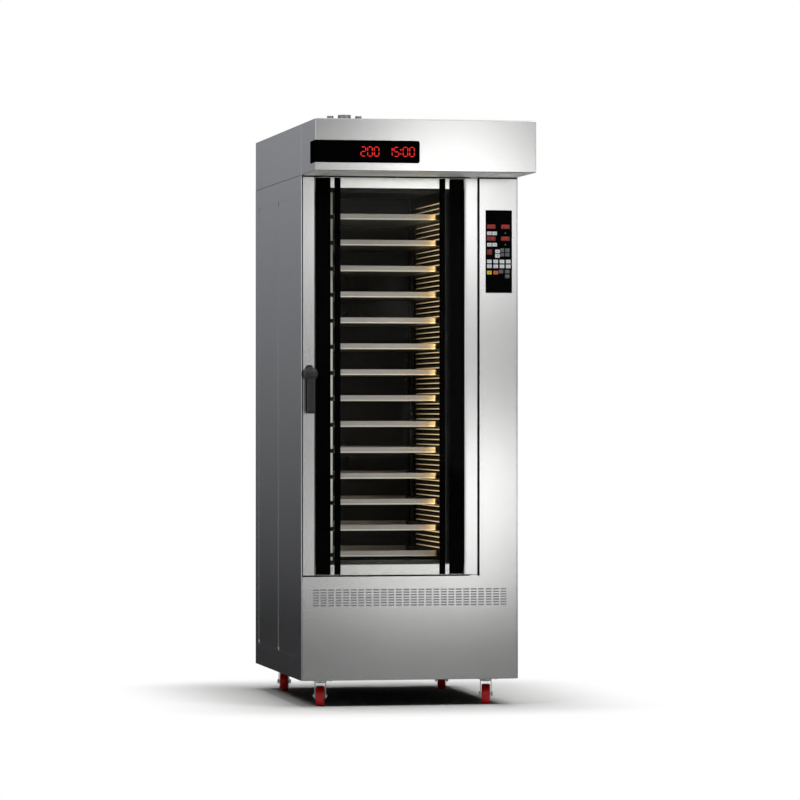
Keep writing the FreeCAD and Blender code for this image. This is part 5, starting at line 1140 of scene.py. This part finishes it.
class OVEN_OT_stage(bpy.types.Operator):
    """Lay the floor, set the lamps, the cards and the camera"""
    bl_idname = "oven.stage"
    bl_label = "Set the studio"

    def execute(self, context):
        self.lay_floor(context)
        self.set_cards(context)
        self.set_world(context)
        for name, place, target, width, height, watts in LAMPS:
            lamp = bpy.data.lights.new(name, "AREA")
            lamp.shape = "RECTANGLE"
            lamp.size = width
            lamp.size_y = height
            lamp.energy = watts
            stand = bpy.data.objects.new(name, lamp)
            stand.location = place
            stand.rotation_euler = (Vector(target) - Vector(place)).to_track_quat("-Z", "Y").to_euler()
            stand.visible_camera = False
            stand.visible_glossy = name != MIRRORED_BY_CARD
            context.scene.collection.objects.link(stand)
        view = bpy.data.cameras.new("camera")
        view.lens = CAMERA_LENS
        view.shift_y = CAMERA_SHIFT
        view.clip_end = CAMERA_REACH
        camera = bpy.data.objects.new("camera", view)
        camera.location = CAMERA_PLACE
        camera.rotation_euler = (math.pi / 2, 0.0, CAMERA_TURN)
        context.scene.collection.objects.link(camera)
        context.scene.camera = camera
        context.scene.view_settings.view_transform = "Standard"
        return {"FINISHED"}

    def lay_floor(self, context):
        """A pale round floor that keeps the shadow near the casters and runs out to white."""
        material, tree, place = bare_tree("pale_studio_floor")
        low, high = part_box("base_pan")
        middle = (low + high) / 2
        half = (high - low) / 2
        from_middle = add(tree, "ShaderNodeVectorMath", {0: place, 1: (middle.x, middle.y, 0.0)},
                          operation="SUBTRACT")
        spread = add(tree, "ShaderNodeVectorMath", {0: from_middle.outputs[0]}, operation="ABSOLUTE")
        past = add(tree, "ShaderNodeVectorMath", {0: spread.outputs[0], 1: (half.x, half.y, 1.0)},
                   operation="SUBTRACT")
        outside = add(tree, "ShaderNodeVectorMath", {0: past.outputs[0], 1: (0.0, 0.0, 0.0)},
                      operation="MAXIMUM")
        distance = add(tree, "ShaderNodeVectorMath", {0: outside.outputs[0]}, operation="LENGTH")
        fade = add(tree, "ShaderNodeMapRange", {
            "Value": distance.outputs["Value"], "From Min": 0.0, "From Max": FLOOR_FADE},
            interpolation_type="SMOOTHSTEP")
        grit = add(tree, "ShaderNodeTexNoise", {"Vector": place, "Scale": 1 / FLOOR_GRIT, "Detail": 3.0})
        pale = context.scene.oven_colours.floor
        gritty = scaled(pale, 0.97)
        shade = add(tree, "ShaderNodeMix", {0: grit.outputs["Fac"], 6: opaque(pale), 7: opaque(gritty)},
                    data_type="RGBA")
        matt = add(tree, "ShaderNodeBsdfDiffuse", {"Color": shade.outputs[2]})
        white = add(tree, "ShaderNodeEmission", {"Strength": 1.0})
        seen = self.seen_ray(tree)
        share = add(tree, "ShaderNodeMath", {0: fade.outputs["Result"], 1: seen}, operation="MULTIPLY")
        floor = add(tree, "ShaderNodeMixShader", {
            0: share.outputs[0], 1: matt.outputs[0], 2: white.outputs[0]})
        add(tree, "ShaderNodeOutputMaterial", {"Surface": floor.outputs[0]})
        bm = bmesh.new()
        bmesh.ops.create_circle(bm, cap_ends=True, segments=96, radius=FLOOR_RADIUS)
        self.set_stage(context, "studio_floor", bm, material)

    def seen_ray(self, tree):
        """1 for the rays that show the background itself: seen, mirrored or through glass."""
        ray = add(tree, "ShaderNodeLightPath")
        both = add(tree, "ShaderNodeMath", {0: ray.outputs["Is Camera Ray"], 1: ray.outputs["Is Glossy Ray"]},
                   operation="MAXIMUM")
        every = add(tree, "ShaderNodeMath", {0: both.outputs[0], 1: ray.outputs["Is Transmission Ray"]},
                    operation="MAXIMUM")
        return every.outputs[0]

    def set_cards(self, context):
        """Plain cards with an even or graded glow, as a photographer stands round bright metal."""
        for name, middle, width, height, tip, turn, lower, upper, code in CARDS:
            bm = bmesh.new()
            size = Matrix.Diagonal((width, height, 1.0, 1.0))
            shape = (Matrix.Translation(middle) @ Matrix.Rotation(math.radians(turn), 4, "Z")
                     @ Matrix.Rotation(math.radians(tip), 4, "X") @ size)
            bmesh.ops.create_grid(bm, x_segments=1, y_segments=1, size=0.5, matrix=shape)
            heights = [vert.co.z for vert in bm.verts]
            material, tree, place = bare_tree(f"{name}_glow")
            axes = add(tree, "ShaderNodeSeparateXYZ", {0: place})
            level = add(tree, "ShaderNodeMapRange", {
                "Value": axes.outputs["Z"], "From Min": min(heights), "From Max": max(heights),
                "To Min": lower, "To Max": upper})
            glow = add(tree, "ShaderNodeEmission", {
                "Color": opaque(srgb(code)), "Strength": level.outputs["Result"]})
            add(tree, "ShaderNodeOutputMaterial", {"Surface": glow.outputs[0]})
            card = self.set_stage(context, name, bm, material)
            card.visible_camera = False
            card.visible_diffuse = False
            card.visible_transmission = False
            card.visible_shadow = False

    def set_stage(self, context, name, bm, material):
        """Make a stage object of a finished bmesh."""
        mesh = bpy.data.meshes.new(name)
        bm.to_mesh(mesh)
        bm.free()
        mesh.materials.append(material)
        thing = bpy.data.objects.new(name, mesh)
        context.scene.collection.objects.link(thing)
        return thing

    def set_world(self, context):
        """White all round where it is seen, and a plain soft light elsewhere."""
        world = bpy.data.worlds.new("studio_world")
        world.use_nodes = True
        tree = world.node_tree
        tree.nodes.clear()
        white = opaque(srgb("#FFFFFF"))
        soft = add(tree, "ShaderNodeBackground", {"Color": white, "Strength": SOFT_LIGHT})
        plain = add(tree, "ShaderNodeBackground", {"Color": white, "Strength": 1.0})
        both = add(tree, "ShaderNodeMixShader", {
            0: self.seen_ray(tree), 1: soft.outputs[0], 2: plain.outputs[0]})
        add(tree, "ShaderNodeOutputWorld", {"Surface": both.outputs[0]})
        context.scene.world = world


OPERATORS = (OVEN_OT_cabinet_finish, OVEN_OT_cavity_finish, OVEN_OT_door_finish, OVEN_OT_key_finish,
             OVEN_OT_control_screens, OVEN_OT_strip_digits, OVEN_OT_outer_pane, OVEN_OT_pane_spacers,
             OVEN_OT_louvre_hoods, OVEN_OT_underseal, OVEN_OT_hood_plates, OVEN_OT_roof_joints,
             OVEN_OT_panel_screws, OVEN_OT_gland_nut, OVEN_OT_caster_fittings, OVEN_OT_handle_cap,
             OVEN_OT_stage)


class OVEN_PT_build(bpy.types.Panel):
    """Steps that finish the oven, and the sizes and colours that they read"""
    bl_label = "Tray oven"
    bl_idname = "OVEN_PT_build"
    bl_space_type = "VIEW_3D"
    bl_region_type = "UI"
    bl_category = "Oven"

    def draw(self, context):
        for operator in OPERATORS:
            self.layout.operator(operator.bl_idname)
        for group in (context.scene.oven_sizes, context.scene.oven_colours):
            for name in group.__annotations__:
                self.layout.prop(group, name)


CLASSES = (OvenSizes, OvenColours, *OPERATORS, OVEN_PT_build)


def register():
    """Add the classes and the scene's settings."""
    for made in CLASSES:
        bpy.utils.register_class(made)
    bpy.types.Scene.oven_sizes = PointerProperty(type=OvenSizes)
    bpy.types.Scene.oven_colours = PointerProperty(type=OvenColours)


def unregister():
    """Remove the settings and the classes."""
    del bpy.types.Scene.oven_colours
    del bpy.types.Scene.oven_sizes
    for made in reversed(CLASSES):
        bpy.utils.unregister_class(made)


def main():
    """Run every step in order."""
    register()
    bpy.ops.oven.cabinet_finish()
    bpy.ops.oven.cavity_finish()
    bpy.ops.oven.door_finish()
    bpy.ops.oven.key_finish()
    bpy.ops.oven.control_screens()
    bpy.ops.oven.strip_digits()
    bpy.ops.oven.outer_pane()
    bpy.ops.oven.pane_spacers()
    bpy.ops.oven.louvre_hoods()
    bpy.ops.oven.underseal()
    bpy.ops.oven.hood_plates()
    bpy.ops.oven.roof_joints()
    bpy.ops.oven.panel_screws()
    bpy.ops.oven.gland_nut()
    bpy.ops.oven.caster_fittings()
    bpy.ops.oven.handle_cap()
    bpy.ops.oven.stage()


if __name__ == "__main__":
    main()
